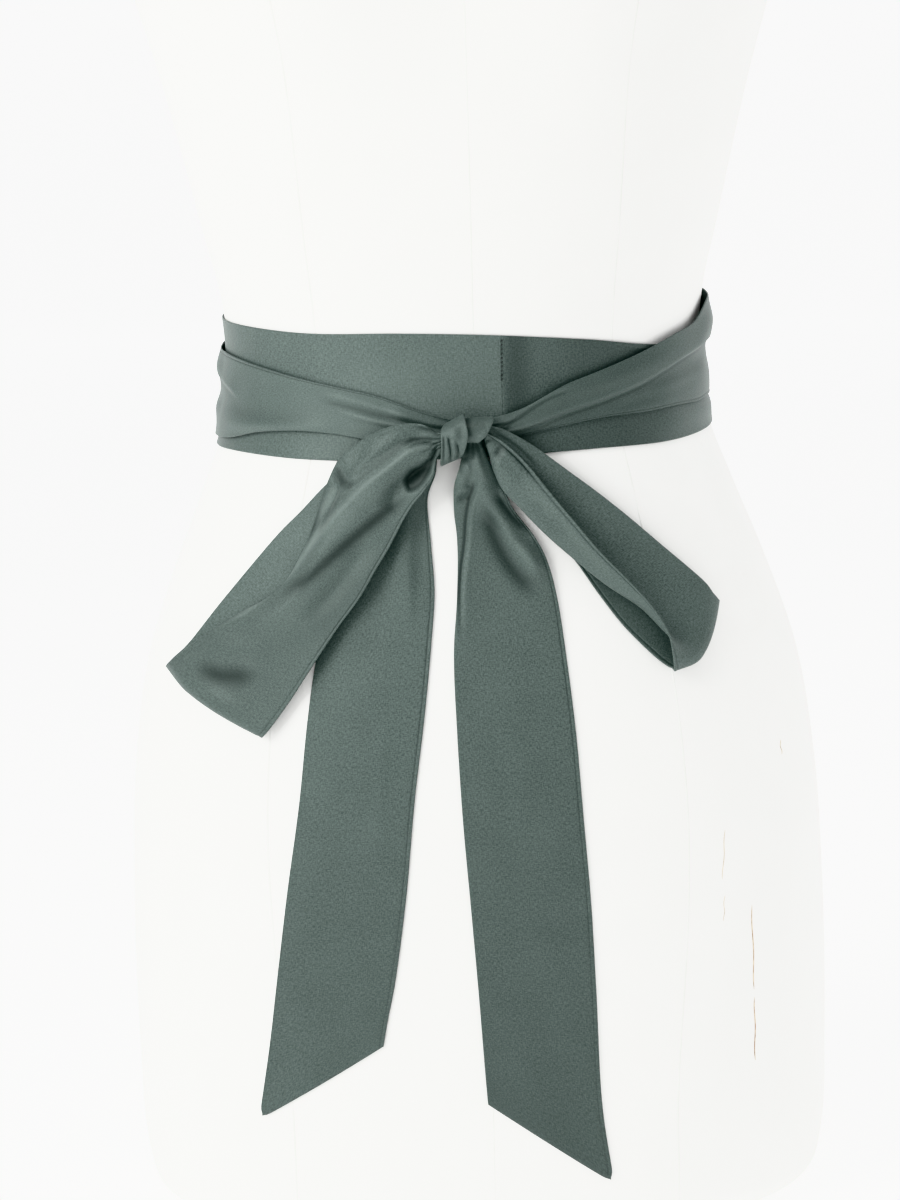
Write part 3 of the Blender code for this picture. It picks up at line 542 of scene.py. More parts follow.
LEFT_LOOP_CREASES = [
    Crease(-1.3, 1.7, [(-14, 382.4), (-21.6, 382.7), (-28.5, 380.5), (-34.6, 376.9), (-42.6, 371.9),
                       (-49.7, 367.3), (-54.4, 363.6)], rows=(0, 8), fade=0.25, dark=0.20),
    Crease(2.2, 1.3, [(-14, 379.0), (-17.1, 378.6), (-25.4, 377.9), (-31.0, 374.3), (-38.1, 368.9),
                      (-47.5, 362.0), (-54.7, 355.2), (-61.8, 347.8), (-68.5, 339.5), (-75.0, 331.2),
                      (-81.5, 322.0)], lip=30.0, rows=(0, 10), fade=0.20, dark=0.34, light=0.36),
    Crease(2.2, 1.1, [(-61.5, 361.5), (-64.6, 357.0), (-67.3, 350.0), (-69.6, 341.8), (-74.2, 332.9),
                      (-80.4, 323.5), (-86.7, 316.0), (-97.4, 307.2), (-108.5, 299.0), (-125.1, 289.0)],
           lip=6.0, rows=(4, 12), fade=0.12, dark=0.46, light=0.40),
    Crease(1.2, 4.6, [(-33.0, 366.0), (-41.7, 359.3), (-55.3, 345.6), (-66.6, 331.8), (-75.7, 320.4),
                      (-87.0, 308.9), (-98.3, 299.7)], rows=(1, 12), fade=0.35, light=0.14),
    Crease(-3.0, 3.2, [(-27.0, 357.5), (-36.5, 351.0), (-46.6, 343.5), (-57.0, 335.0),
                       (-66.2, 327.0), (-75.0, 319.6), (-84.2, 312.6), (-95.5, 303.8)],
           lip=24.0, rows=(3, 11.5), fade=0.22, dark=0.80),
    Crease(0.0, 10.0, [(-36.0, 340.0), (-55.3, 315.8), (-71.2, 295.1), (-87.0, 279.1)],
           rows=(3, 12.8), fade=0.4, dark=0.20),
    Crease(-1.5, 1.8, [(-61.0, 367.0), (-62.5, 362.5), (-59.5, 359.5), (-55.0, 359.6), (-53.6, 361.3),
                       (-57.0, 363.6), (-58.8, 367.2), (-61.0, 367.0)], rows=(3, 8), dark=0.55,
           fill=True),
    Crease(-2.6, 1.6, [(-14.5, 376.1), (-18.2, 372.7), (-22.0, 369.4), (-26.6, 367.2), (-29.6, 362.6),
                       (-27.6, 357.6), (-22.8, 358.8), (-18.8, 363.4), (-16.2, 368.4), (-14.5, 376.1)],
           rows=(0.6, 6), dark=0.92, fill=True),
    Crease(-1.0, 4.5, [(-26.0, 360.0), (-31.0, 353.0), (-37.0, 346.0)], rows=(2, 8), dark=0.14),
    Crease(-1.3, 6.5, [(-118.0, 287.0), (-108.0, 292.0), (-98.0, 287.0)], rows=(8, 12.5), fade=0.4,
           dark=0.16),
    Crease(-1.6, 6.0, [(-136.0, 275.5), (-127.0, 272.0), (-116.0, 270.0), (-106.0, 271.5),
                       (-94.0, 277.0)], rows=(9, 12.8), fade=0.4, dark=0.74),
    Crease(-0.9, 1.0, [(-11.5, 382.0), (-15.5, 384.8), (-19.8, 386.0), (-24.2, 386.9)], rows=(0, 4),
           dark=0.62, fade=0.25),
    Crease(0.9, 1.2, [(-12.0, 384.4), (-17.0, 387.0), (-23.0, 388.8)], rows=(0, 4)),
    Crease(-0.6, 0.8, [(-12.0, 380.8), (-17.5, 381.6), (-24.0, 380.9), (-29.5, 378.3)], rows=(0, 5),
           dark=0.50),
    Crease(0.4, 0.7, [(-12.0, 382.2), (-18.0, 383.4), (-25.0, 382.8), (-31.0, 379.6)], rows=(0, 5),
           light=0.22),
    Crease(-0.6, 0.8, [(-12.0, 378.6), (-17.5, 379.6), (-23.5, 378.9), (-28.5, 376.6)], rows=(0, 5),
           dark=0.50),
    Crease(-0.4, 0.6, [(-12.2, 376.4), (-17.0, 376.8), (-22.0, 375.4)], rows=(0, 4), dark=0.45),
]
RIGHT_LOOP_CREASES = [
    Crease(-0.8, 0.9, [(8.7, 382.9), (14.0, 378.8), (20.3, 373.6), (26.1, 367.4), (34, 358)],
           rows=(0, 5), across=(0.66, 1.0), dark=0.40),
    Crease(-0.7, 0.9, [(9.2, 384.6), (15.0, 381.6), (21.8, 377.0), (28.5, 370.5), (35.2, 362.8)],
           rows=(0, 6), across=(0.0, 0.62), dark=0.45),
    Crease(0.0, 3.5, [(22, 366), (33, 352), (46, 337), (60, 321), (74, 306)], rows=(2, 9),
           across=(0.68, 1.0), light=0.14),
    Crease(-0.6, 1.0, [(11.5, 386.2), (18.8, 384.4), (25.0, 381.0), (31.7, 375.2)], rows=(0, 5),
           across=(0.0, 0.5), dark=0.25),
    Crease(1.2, 2.2, [(8.6, 380.0), (10.4, 376.6), (11.6, 373.0)], rows=(0, 4), across=(0.6, 1.0)),
    Crease(-1.4, 2.0, [(15.6, 378.6), (14.8, 375.2), (12.8, 370.6)], rows=(0, 4), across=(0.6, 1.0),
           dark=0.40, fade=0.4),
    Crease(-0.6, 4.0, [(27, 358), (38, 345), (50, 333)], rows=(2, 8), across=(0.66, 1.0)),
    Crease(-0.7, 6.0, [(62, 341), (78, 326), (92, 311)], rows=(4, 9), across=(0.0, 0.5)),
    Crease(0.7, 3.0, [(84, 303), (96, 294), (107, 290)], rows=(7, 11), across=(0.0, 0.66)),
]
LEFT_TAIL_CREASES = [
    Crease(0.7, 2.2, [(-27.0, 352), (-28.2, 330), (-28.5, 312), (-29.5, 290)]),
    Crease(-0.4, 3.4, [(-22.5, 350), (-22.8, 330), (-23.0, 306)], dark=0.08),
    Crease(-0.4, 7.0, [(-40, 330), (-46, 300), (-52, 268)], dark=0.05),
    Crease(-0.4, 9.0, [(-60, 235), (-58, 200), (-62, 160), (-70, 120)], dark=0.06),
    Crease(0.6, 8.0, [(-80, 190), (-84, 145), (-90, 95)]),
    Crease(0.4, 4.0, [(-42, 262), (-44, 220), (-49, 176)]),
]
RIGHT_TAIL_CREASES = [
    Crease(2.1, 1.0, [(4.6, 363.0), (4.0, 358.5), (1.9, 351.8), (0.3, 344.1), (-1.0, 330.9),
                      (-3.2, 317.7), (-4.1, 305.0), (-4.0, 283.6)], lip=6.0, fade=0.2, dark=0.84,
           light=0.10),
    Crease(-1.6, 4.0, [(5.6, 355.0), (9.2, 343.0), (13.0, 331.5), (18.4, 321.4), (25.4, 313.0),
                       (34.0, 307.0)], fade=0.25, dark=0.66),
    Crease(2.2, 3.4, [(10.0, 353.6), (15.4, 342.0), (21.6, 331.4), (28.6, 322.8), (37.0, 315.6)],
           fade=0.25, light=0.10),
    Crease(-1.2, 2.2, [(11.3, 357.5), (16.0, 350.0), (22.2, 341.6), (30.5, 334.2)], fade=0.3,
           dark=0.62),
    Crease(-0.6, 1.3, [(7.4, 377.0), (9.6, 371.5), (12.6, 366.0), (16.4, 358.5)], fade=0.2,
           dark=0.50),
    Crease(1.2, 2.2, [(2.6, 381.0), (3.8, 374.0), (5.6, 367.0), (7.4, 360.0)], fade=0.3),
    Crease(1.0, 1.8, [(13.5, 359.0), (19.5, 349.5), (26.0, 342.5)], fade=0.3),
    Crease(-1.0, 1.6, [(-6.8, 354.6), (-2.6, 352.6), (1.0, 355.6)], fade=0.4, dark=0.34),
    Crease(0.9, 1.8, [(-6.4, 358.4), (-2.6, 356.4), (0.2, 360.0)]),
    Crease(-0.8, 1.3, [(-2.6, 371.6), (-3.6, 367.4), (-2.6, 363.4)], fade=0.4, dark=0.30),
    Crease(0.8, 1.2, [(0.4, 378.0), (-0.4, 371.0), (0.6, 364.0)], fade=0.3),
    Crease(-0.4, 7.0, [(8, 262), (12, 225), (14, 185)], dark=0.04),
    Crease(0.5, 8.0, [(34, 230), (36, 190), (38, 150)]),
    Crease(-0.4, 6.0, [(30, 160), (41, 152), (53, 166)], dark=0.10),
    Crease(-0.4, 9.0, [(22, 150), (24, 120), (30, 80)], dark=0.06),
]
KNOT_BAND_CREASES = [
    Crease(-1.2, 0.8, [(-8.2, 383.5), (-8.2, 380), (-7.6, 376), (-8.2, 369.5)], fade=0.25, dark=0.48),
    Crease(0.7, 0.9, [(-6.4, 381.5), (-6.0, 377), (-6.6, 371)], fade=0.2),
    Crease(-0.8, 0.7, [(-10.5, 384.0), (-10.6, 377), (-11.4, 370)], fade=0.25, dark=0.30),
    Crease(-0.9, 0.8, [(-4.6, 380.2), (-4.2, 376), (-4.8, 371.5)], fade=0.25, dark=0.42),
    Crease(-0.6, 1.6, [(-3.0, 388.4), (-2.4, 384.0), (-3.2, 379.5)], fade=0.25, dark=0.10),
    Crease(0.6, 1.6, [(-6.6, 388.0), (-6.2, 384.4), (-5.4, 381.6)]),
]
KNOT_FLAP_CREASES = [
    Crease(-0.7, 2.6, [(3.0, 388.4), (6.5, 387.2), (10.0, 387.4)], dark=0.16),
    Crease(0.6, 0.9, [(9.4, 385.4), (7.4, 382.9), (4.6, 381.6)]),
    Crease(0.0, 1.8, [(-0.6, 390.5), (0.6, 386.4), (1.2, 382.0)], fade=0.12, dark=0.55),
]

# Gathers where the cloth runs into the knot: where they are strong and where they are gone, a turn or
# a row, how many they are, how high, and from where to where across
GATHERS = {
    "left_wrap": (-9, -34, 4, 0.40, 0, 1),
    "right_wrap": (9, 26, 4, 0.25, 0, 0.7),
    "left_loop": (1.2, 2.6, 7, 0.40, 0.1, 0.62),
    "right_loop": (1.0, 3.2, 5, 0.45, 0.0, 0.6),
    "left_tail": (1.5, 3.5, 4, 0.30, 0, 1),
    "right_tail": (1.5, 3.0, 3, 0.25, 0, 1),
}

# Painted shade: how much darker the cloth's colour is made along each stretch, to stand in for shade
PAINTED_SHADE_COLUMNS = "along lay"
NO_PAINTED_SHADE = Table(PAINTED_SHADE_COLUMNS, [(-360, 0.0), (360, 0.0)])
PAINTED_BROAD_SHADES = {
    "first_wrap": Table(PAINTED_SHADE_COLUMNS, [(-170, 0.0), (10.5, 0.0), (11.0, 0.13), (22, 0.19), (36, 0.38),
                                      (50, 0.38), (62, 0.14), (76, 0.0), (170, 0.0)]),
    "right_wrap": Table(PAINTED_SHADE_COLUMNS, [(3, 0.10), (14, 0.15), (26, 0.20), (44, 0.22), (54, 0.16),
                                      (68, 0.12), (84, 0.08), (110, 0.0), (190, 0.0)]),
    "left_loop": Table(PAINTED_SHADE_COLUMNS, [(0, 0.10), (4, 0.10), (8, 0.09), (12.5, 0.12), (13, 0.05),
                                     (23, 0.1)]),
    "right_loop": Table(PAINTED_SHADE_COLUMNS, [(0, 0.0), (12, 0.0), (13, 0.1), (21, 0.1)]),
    "left_tail": Table(PAINTED_SHADE_COLUMNS, [(0, 0.04), (4, 0.02), (7, 0.04), (10, 0.26), (12, 0.27)]),
    "right_tail": Table(PAINTED_SHADE_COLUMNS, [(0, 0.0), (4, 0.04), (8, 0.04), (11, 0.22), (14, 0.42)]),
}


def edge_inset(height):
    """How far the form's rounded bottom and neck edges draw in at a height."""
    low = np.clip(1 - height / BOTTOM_EDGE_RADIUS, 0, 1)
    high = np.clip(1 - (FORM_HEIGHT - height) / NECK_EDGE_RADIUS, 0, 1)
    return (BOTTOM_EDGE_RADIUS * (1 - np.sqrt(1 - low ** 2))
            + NECK_EDGE_RADIUS * (1 - np.sqrt(1 - high ** 2)))


def form_surface(turn, height):
    """The point of the form's surface at an angle and a height."""
    turn, height = np.broadcast_arrays(np.radians(turn), np.asarray(height, dtype=float))
    inset = edge_inset(height)
    side = FORM.at("side", height)
    half_width = FORM.at("half_width", height) - inset
    front = FORM.at("front", height) + side - inset
    back = FORM.at("back", height) - side - inset
    power = FORM.at("squareness", height)
    sine, cosine = np.sin(turn), np.cos(turn)
    depth = np.where(cosine > 0, front, back)
    radius = (np.abs(sine / half_width) ** power + np.abs(cosine / depth) ** power) ** (-1 / power)
    x = radius * sine
    y = side - radius * cosine
    bust = np.exp(-((np.abs(x) - BUST_FROM_MIDDLE) / BUST_WIDTH) ** 2
                  - ((height - BUST_HEIGHT) / BUST_TALLNESS) ** 2)
    y = y - BUST_DEPTH * bust * np.clip(cosine, 0, 1)
    return np.stack([x, y, height], axis=-1)


def beside_form(turn, height, out):
    """The point `out` millimetres square to the form's surface."""
    round_way = form_surface(turn + SMALL_STEP, height) - form_surface(turn - SMALL_STEP, height)
    up_way = form_surface(turn, height + SMALL_STEP) - form_surface(turn, height - SMALL_STEP)
    normal = unit(np.cross(round_way, up_way))
    return form_surface(turn, height) + normal * out[..., None]


def before_form(x, height, lift):
    """The point `lift` millimetres straight in front of the form's surface."""
    side = FORM.at("side", height)
    power = FORM.at("squareness", height)
    share = np.clip(np.abs(x) / FORM.at("half_width", height), 0, FRONT_REACH)
    depth = (FORM.at("front", height) + side) * (1 - share ** power) ** (1 / power)
    return np.stack([x, side - depth - lift, height], axis=-1)


def grid_normals(grid):
    """The ways square to a grid of points."""
    return unit(np.cross(np.gradient(grid, axis=0), np.gradient(grid, axis=1)))


def ridges(along, across, folds, width_scale=1.0):
    """The height of all the large folds at each point of a grid."""
    total = np.zeros(np.broadcast(along, across).shape)
    for start, start_across, end, end_across, height, width in folds:
        t = (along - start) / (end - start)
        middle = start_across + (end_across - start_across) * t
        total = total + height * soft_ends(t) * np.exp(-((across - middle) * width_scale / width) ** 2)
    return total


def gathers(along, across, pleats):
    """Small pleats that start at the knot and fade out."""
    strong, gone, count, height, low, high = pleats
    fade = 1 - np.clip((along - strong) / (gone - strong), 0, 1)
    wobble = GATHER_WOBBLE * np.sin(GATHER_SWAY * across + GATHER_SHIFT * count)
    wave = np.cos(2 * np.pi * count * across + wobble)
    span = smooth_rise(across, low - GATHER_FADE, low) * (1 - smooth_rise(across, high, high + GATHER_FADE))
    return height * fade * fade * wave * span


def fine_folds(creases, pleats, where, along, across, scale=(1.0, 1.0)):
    """The height and the shade of the fine folds and the gathers at each point of a grid."""
    total, shade = np.zeros((2,) + where.shape[:-1])
    along = np.broadcast_to(along, total.shape)
    across = np.broadcast_to(across, total.shape)
    for crease in creases:
        height, dark = crease.raised(where, along, across, np.array(scale))
        total = total + height
        shade = shade + dark
    if pleats:
        total = total + gathers(along, across, pleats)
    return total, shade + HOLLOW_SHADE * np.clip(-total, 0, None)


def cloth_columns(extra=()):
    """Shares of the way across, close together at both edges and along the seam."""
    near = np.sort(np.concatenate([EDGE_COLUMNS, SEAM_INSET + np.array(SEAM_COLUMNS)]))
    middle = np.arange(near[-1] + COLUMN_SPACING, SASH_WIDTH - near[-1] - COLUMN_SPACING / 2,
                       COLUMN_SPACING)
    columns = np.concatenate([near, middle, SASH_WIDTH - near, np.asarray(extra)]) / SASH_WIDTH
    columns = np.unique(np.round(columns, COLUMN_DIGITS))
    return columns[np.concatenate([[True], np.diff(columns) > LEAST_COLUMN_GAP])]


def wrap_cloth(table, folds, creases, pleats, lay=NO_PAINTED_SHADE, seam_turns=()):
    """A band of cloth round the form: its middle surface, the shares across it, the shade and gleam painted
    at its folds, and its broad painted shade.

    `seam_turns` are more places round it, for a seam that is too narrow for the usual steps.
    """
    count = int(round((table.last() - table.first()) / WRAP_STEP)) + 1
    turn = np.linspace(table.first(), table.last(), count)
    turn = np.unique(np.concatenate([turn, seam_turns]))[:, None]
    across = cloth_columns()[None, :]
    bottom, top = table.at("bottom", turn), table.at("top", turn)
    height = bottom + (top - bottom) * across
    where = np.stack([np.broadcast_to(turn, height.shape), height], axis=-1)
    fine, painted_shade_and_gleam = fine_folds(creases, pleats, where, turn, across, (MM_PER_TURN, 1.0))
    grid = beside_form(turn, height, table.at("out", turn) + ridges(turn, across, folds) + fine)
    return grid, across, painted_shade_and_gleam, lay.at("lay", turn)


def sections(table, steps):
    """The places along a table, evenly spread between each row and the next."""
    count = len(table.rows)
    places = np.linspace(0, count - 1, (count - 1) * steps + 1)
    return np.interp(places, np.arange(count), table.rows[:, 0])


def rail(table, name, row):
    """The points of one of a loop's edges, by its name in the table."""
    return before_form(table.at(name + "_x", row), table.at(name + "_z", row),
                       table.at(name + "_lift", row))


def add_folds(grid, row, across, folds, creases, pleats):
    """Raises the large folds square to the cloth and the fine ones straight forward."""
    spans = np.linalg.norm(np.diff(grid, axis=1), axis=2).sum(axis=1)[:, None]
    fine, painted_shade_and_gleam = fine_folds(creases, pleats, grid[..., [0, 2]], row, across)
    grid = grid + grid_normals(grid) * ridges(row, across, folds, spans)[..., None]
    return grid + fine[..., None] * np.array([0.0, -1.0, 0.0]), painted_shade_and_gleam


def loop_cloth(table, mid_share, folds, creases, pleats, bow, lay=NO_PAINTED_SHADE):
    """A loop of ribbon. Each section runs from edge a round the fold at `mid` to edge b."""
    row = sections(table, LOOP_STEPS)
    a, mid, b = (rail(table, name, row)[:, None, :] for name in ("a", "mid", "b"))
    fold = table.at("fold", row)[:, None, None]
    across = cloth_columns(mid_share * SASH_WIDTH + np.array(FOLD_COLUMNS))
    turn_back = np.array([0.0, -FOLD_ROUNDNESS, 0.0])
    flat = b - a
    t_first = np.clip(across / mid_share, 0, 1)[None, :, None]
    t_second = np.clip((across - mid_share) / (1 - mid_share), 0, 1)[None, :, None]
    way_first = flat * mid_share * (1 - fold) + turn_back * fold
    way_second = flat * (1 - mid_share) * (1 - fold) + turn_back * fold
    first = hermite(a, mid, mid - a, way_first, t_first)
    second = hermite(mid, b, way_second, b - mid, t_second)
    grid = np.where((across <= mid_share)[None, :, None], first, second)
    bow_row, bow_rows, bow_x, bow_z = bow
    swell = np.exp(-((row - bow_row) / bow_rows) ** 2)[:, None] * (4 * across * (1 - across))[None, :]
    grid = grid + swell[..., None] * np.array([bow_x, 0.0, bow_z])
    grid, painted_shade_and_gleam = add_folds(grid, row[:, None], across[None, :], folds, creases, pleats)
    return grid, across[None, :], painted_shade_and_gleam, lay.at("lay", row[:, None])


def blunt(grid, column, far_column):
    """Rounds off the pointed corner at the last row and one edge of a ribbon."""
    corner = grid[-1, column]
    inward = unit((grid[-1, far_column] + grid[-TAIL_STEPS, column]) / 2 - corner)
    gap = np.linalg.norm(grid - corner, axis=-1, keepdims=True)
    return grid + POINT_PULL * np.exp(-(gap / POINT_REACH) ** 2) * inward


def tail_cloth(table, folds, creases, pleats, lay=NO_PAINTED_SHADE, steps=TAIL_STEPS, point=None):
    """A stretch of ribbon with straight sections from edge a to edge b.

    `point` is the edge that its slanted end comes to a point on: 0 for a and 1 for b.
    """
    row = sections(table, steps)[:, None]
    across = cloth_columns()[None, :]
    parts = []
    for axis in ("x", "z", "lift"):
        a, b = table.at("a_" + axis, row), table.at("b_" + axis, row)
        parts.append(a + (b - a) * across)
    grid, painted_shade_and_gleam = add_folds(before_form(*parts), row, across, folds, creases, pleats)
    if point is not None:
        grid = blunt(grid, -point, point - 1)
    nearest = before_form(grid[..., 0], grid[..., 2], LEAST_LIFT)
    grid[..., 1] = np.minimum(grid[..., 1], nearest[..., 1])
    return grid, across, painted_shade_and_gleam, lay.at("lay", row)


def new_object(name, mesh):
    made = bpy.data.objects.new(name, mesh)
    bpy.context.scene.collection.objects.link(made)
    return made


def mesh_object(name, points, faces, finish):
    """A smooth mesh object in metres from points in millimetres."""
    mesh = bpy.data.meshes.new(name)
    mesh.from_pydata((np.asarray(points) * METRES).tolist(), [], faces)
    mesh.materials.append(finish)
    mesh.shade_smooth()
    return new_object(name, mesh)


def thickness_share(grid):
    """The share of its thickness that a cloth has at each point, less towards its edges."""
    steps = np.linalg.norm(np.diff(grid, axis=1), axis=2)
    from_a = np.concatenate([np.zeros((len(grid), 1)), np.cumsum(steps, axis=1)], axis=1)
    inward = np.minimum(from_a, from_a[:, -1:] - from_a) / EDGE_RADIUS
    share = np.sqrt(1 - (1 - np.clip(inward, 0, 1)) ** 2)
    share = THINNEST + (1 - THINNEST) * share
    share[[0, -1]] *= THINNEST
    share[[1, -2]] *= SECOND_ROW_SHARE
    return share


def shell_faces(rows, columns):
    """The faces of a closed shell. Its back points come after its front ones, in the same order."""
    number = np.arange(rows * columns).reshape(rows, columns)
    front = np.stack([number[:-1, :-1], number[1:, :-1], number[1:, 1:], number[:-1, 1:]], axis=-1)
    front = front.reshape(-1, 4)
    back = front[:, ::-1] + rows * columns
    rim = np.concatenate([number[:, 0], number[-1, 1:], number[-2::-1, -1], number[0, -2:0:-1]])
    after = np.roll(rim, -1)
    edge = np.stack([rim, rim + rows * columns, after + rows * columns, after], axis=-1)
    return np.concatenate([front, back, edge])


def shell(name, cloth, thickness, finish, seam_at=None):
    """A closed thin shell of cloth with rounded edges and a sunk seam along one edge.

    Its UV map is the flat cloth, and its points hold the shade and gleam painted at its folds and seam, and
    its broad painted shade.
    """
    grid, across, painted_shade_and_gleam, lay = cloth
    rows, columns = grid.shape[:2]
    share = thickness_share(grid)
    if seam_at is not None:
        from_seam = (np.abs(across - seam_at) * SASH_WIDTH - SEAM_INSET) / SEAM_WIDTH
        groove = np.exp(-from_seam ** 2)
        share = share * (1 - SEAM_DEPTH * groove)
        painted_shade_and_gleam = painted_shade_and_gleam + SEAM_SHADE * groove
    # Above 0 this paints shade into the cloth's colour, and below 0 it paints gleam
    painted_shade_and_gleam = np.clip(painted_shade_and_gleam, -1, DEEPEST_SHADE)
    half = grid_normals(grid) * (thickness / 2 * share)[..., None]
    points = np.concatenate([(grid + half).reshape(-1, 3), (grid - half).reshape(-1, 3)])
    faces = shell_faces(rows, columns)
    made = mesh_object(name, points, faces.tolist(), finish)
    along = np.concatenate([[0], np.cumsum(np.linalg.norm(np.diff(grid, axis=0), axis=2).mean(axis=1))])
    place = np.stack([np.broadcast_to(across * SASH_WIDTH, (rows, columns)),
                      np.broadcast_to(along[:, None], (rows, columns))], axis=-1).reshape(-1, 2)
    place = np.concatenate([place, place])
    layer = made.data.uv_layers.new(name="cloth")
    layer.data.foreach_set("uv", (place[faces.reshape(-1)] / UV_UNIT).astype(np.float32).reshape(-1))
    for title, value in (("painted_shade_and_gleam", painted_shade_and_gleam), ("lay", lay)):
        value = np.broadcast_to(value, (rows, columns)).reshape(-1).astype(np.float32)
        layer = made.data.attributes.new(title, "FLOAT", "POINT")
        layer.data.foreach_set("value", np.concatenate([value, value]))
    return made


# Materials
class Nodes:
    """Adds shader nodes and links to a material."""

    def __init__(self, name):
        self.material = bpy.data.materials.new(name)
        self.material.use_nodes = True
        self.tree = self.material.node_tree
        self.shader = self.tree.nodes["Principled BSDF"]

    def add(self, kind, settings=None, **inputs):
        """A node, its settings and its inputs. An underscore stands for the space in an input's name."""
        node = self.tree.nodes.new(kind)
        for key, value in (settings or {}).items():
            setattr(node, key, value)
        for key, value in inputs.items():
            self.put(node.inputs[key.replace("_", " ")], value)
        return node

    def put(self, socket, value):
        if isinstance(value, bpy.types.NodeSocket):
            self.tree.links.new(value, socket)
        else:
            socket.default_value = value

    def maths(self, operation, *values):
        node = self.add("ShaderNodeMath", {"operation": operation})
        for socket, value in zip(node.inputs, values):
            self.put(socket, value)
        return node.outputs[0]

    def mix(self, factor, first, second):
        """A mix of two colours, which are the node's inputs 6 and 7 and its output 2."""
        node = self.add("ShaderNodeMix", {"data_type": "RGBA"})
        for index, value in ((0, factor), (6, first), (7, second)):
            self.put(node.inputs[index], value)
        return node.outputs[2]

    def between(self, value, low, high, to_low, to_high):
        return self.add("ShaderNodeMapRange", Value=value, From_Min=low, From_Max=high,
                        To_Min=to_low, To_Max=to_high).outputs[0]

    def place(self):
        """Places in the object's own metres."""
        return self.add("ShaderNodeTexCoord").outputs["Object"]

    def noise(self, place, scale, detail, **more):
        return self.add("ShaderNodeTexNoise", Vector=place, Scale=scale, Detail=detail,
                        **more).outputs["Fac"]

    def stored(self, attribute):
        """The number that the mesh's points hold under a name."""
        return self.add("ShaderNodeAttribute", {"attribute_name": attribute}).outputs["Fac"]

    def bump(self, height, strength, distance, **more):
        return self.add("ShaderNodeBump", Height=height, Strength=strength, Distance=distance,
                        **more).outputs[0]

    def finish(self, **inputs):
        """Sets the shader's own sockets, plain values as well as links, and gives the material."""
        for key, value in inputs.items():
            self.put(self.shader.inputs[key.replace("_", " ")], value)
        return self.material


SATIN_DARK = (0.038, 0.050, 0.046, 1.0)
SATIN_LIGHT = (0.102, 0.131, 0.122, 1.0)
# The colour of the gleam painted on the rims and ridges of folds
SATIN_PAINTED_GLEAM = (0.18, 0.22, 0.205, 1.0)
SATIN_GLOSS = (0.86, 1.0, 0.95, 1.0)
# Dark thread, and also the colour that painted shade darkens the satin towards
THREAD_AND_PAINTED_SHADE = (0.010, 0.014, 0.013, 1.0)
THREAD_LIGHT = (0.03, 0.042, 0.037, 1.0)
FORM_WHITE = (0.84, 0.84, 0.825, 1.0)
FORM_SHADE = (0.80, 0.80, 0.785, 1.0)
FORM_SEAM = (0.69, 0.69, 0.67, 1.0)
WEAR_BROWN = (0.26, 0.15, 0.07, 1.0)
WEAR_PALE = (0.60, 0.50, 0.38, 1.0)
FLOOR_WHITE = (0.93, 0.93, 0.93, 1.0)
FLOOR_SHADE = (0.9, 0.9, 0.9, 1.0)
WHITE = (1.0, 1.0, 1.0, 1.0)


def satin(name, darker=1.0):
    """Satin: fine diagonal ribs, uneven yarns, and a soft sheen along the yarns, with shade and gleam
    painted into its colour.

    `darker` is the share of brightness that its colours keep, a painted shade over a whole copy of the
    satin.
    """
    nodes = Nodes(name)
    place = nodes.add("ShaderNodeUVMap", {"uv_map": "cloth"}).outputs[0]
    ribs = nodes.add("ShaderNodeTexWave", {"bands_direction": "DIAGONAL", "wave_profile": "SIN"},
                     Vector=place, Scale=5.6, Distortion=0.6, Detail=1.0).outputs["Fac"]
    long_place = nodes.add("ShaderNodeMapping", Vector=place, Scale=(19.0, 7.0, 1.0)).outputs[0]
    cross_place = nodes.add("ShaderNodeMapping", Vector=place, Scale=(7.0, 19.0, 1.0)).outputs[0]
    yarns = nodes.noise(long_place, 1.0, 3.0, Roughness=0.6)
    picks = nodes.noise(cross_place, 1.0, 3.0, Roughness=0.6)
    grain = nodes.maths("MULTIPLY", nodes.maths("ADD", yarns, picks), 0.5)
    drift = nodes.noise(place, 0.45, 2.0)
    tone = nodes.maths("ADD", nodes.between(grain, 0.39, 0.61, 0.0, 0.88),
                       nodes.between(drift, 0.3, 0.7, 0.0, 0.12))
    dark, light = ([part * darker for part in colour[:3]] + [1.0] for colour in (SATIN_DARK, SATIN_LIGHT))
    # Painted shade from the folds, the seam and the broad shaded stretches darkens the colour towards near
    # black, and painted gleam lightens it on the folds' rims
    painted_shade_and_gleam = nodes.stored("painted_shade_and_gleam")
    shade = nodes.maths("MAXIMUM", painted_shade_and_gleam, nodes.stored("lay"))
    colour = nodes.mix(nodes.between(painted_shade_and_gleam, -1.0, 0.0, 1.0, 0.0), nodes.mix(tone, dark, light),
                       SATIN_PAINTED_GLEAM)
    tangent = nodes.add("ShaderNodeTangent", {"direction_type": "UV_MAP", "uv_map": "cloth"})
    fine = nodes.bump(ribs, 0.16, 0.00012)
    return nodes.finish(
        Base_Color=nodes.mix(shade, colour, THREAD_AND_PAINTED_SHADE),
        Roughness=nodes.between(grain, 0.3, 0.7, 0.46, 0.56),
        Specular_IOR_Level=0.40, Specular_Tint=SATIN_GLOSS,
        Sheen_Weight=0.06, Sheen_Roughness=0.4, Sheen_Tint=SATIN_GLOSS,
        Anisotropic=0.5, Tangent=tangent.outputs[0],
        Normal=nodes.bump(grain, 0.5, 0.00022, Normal=fine))


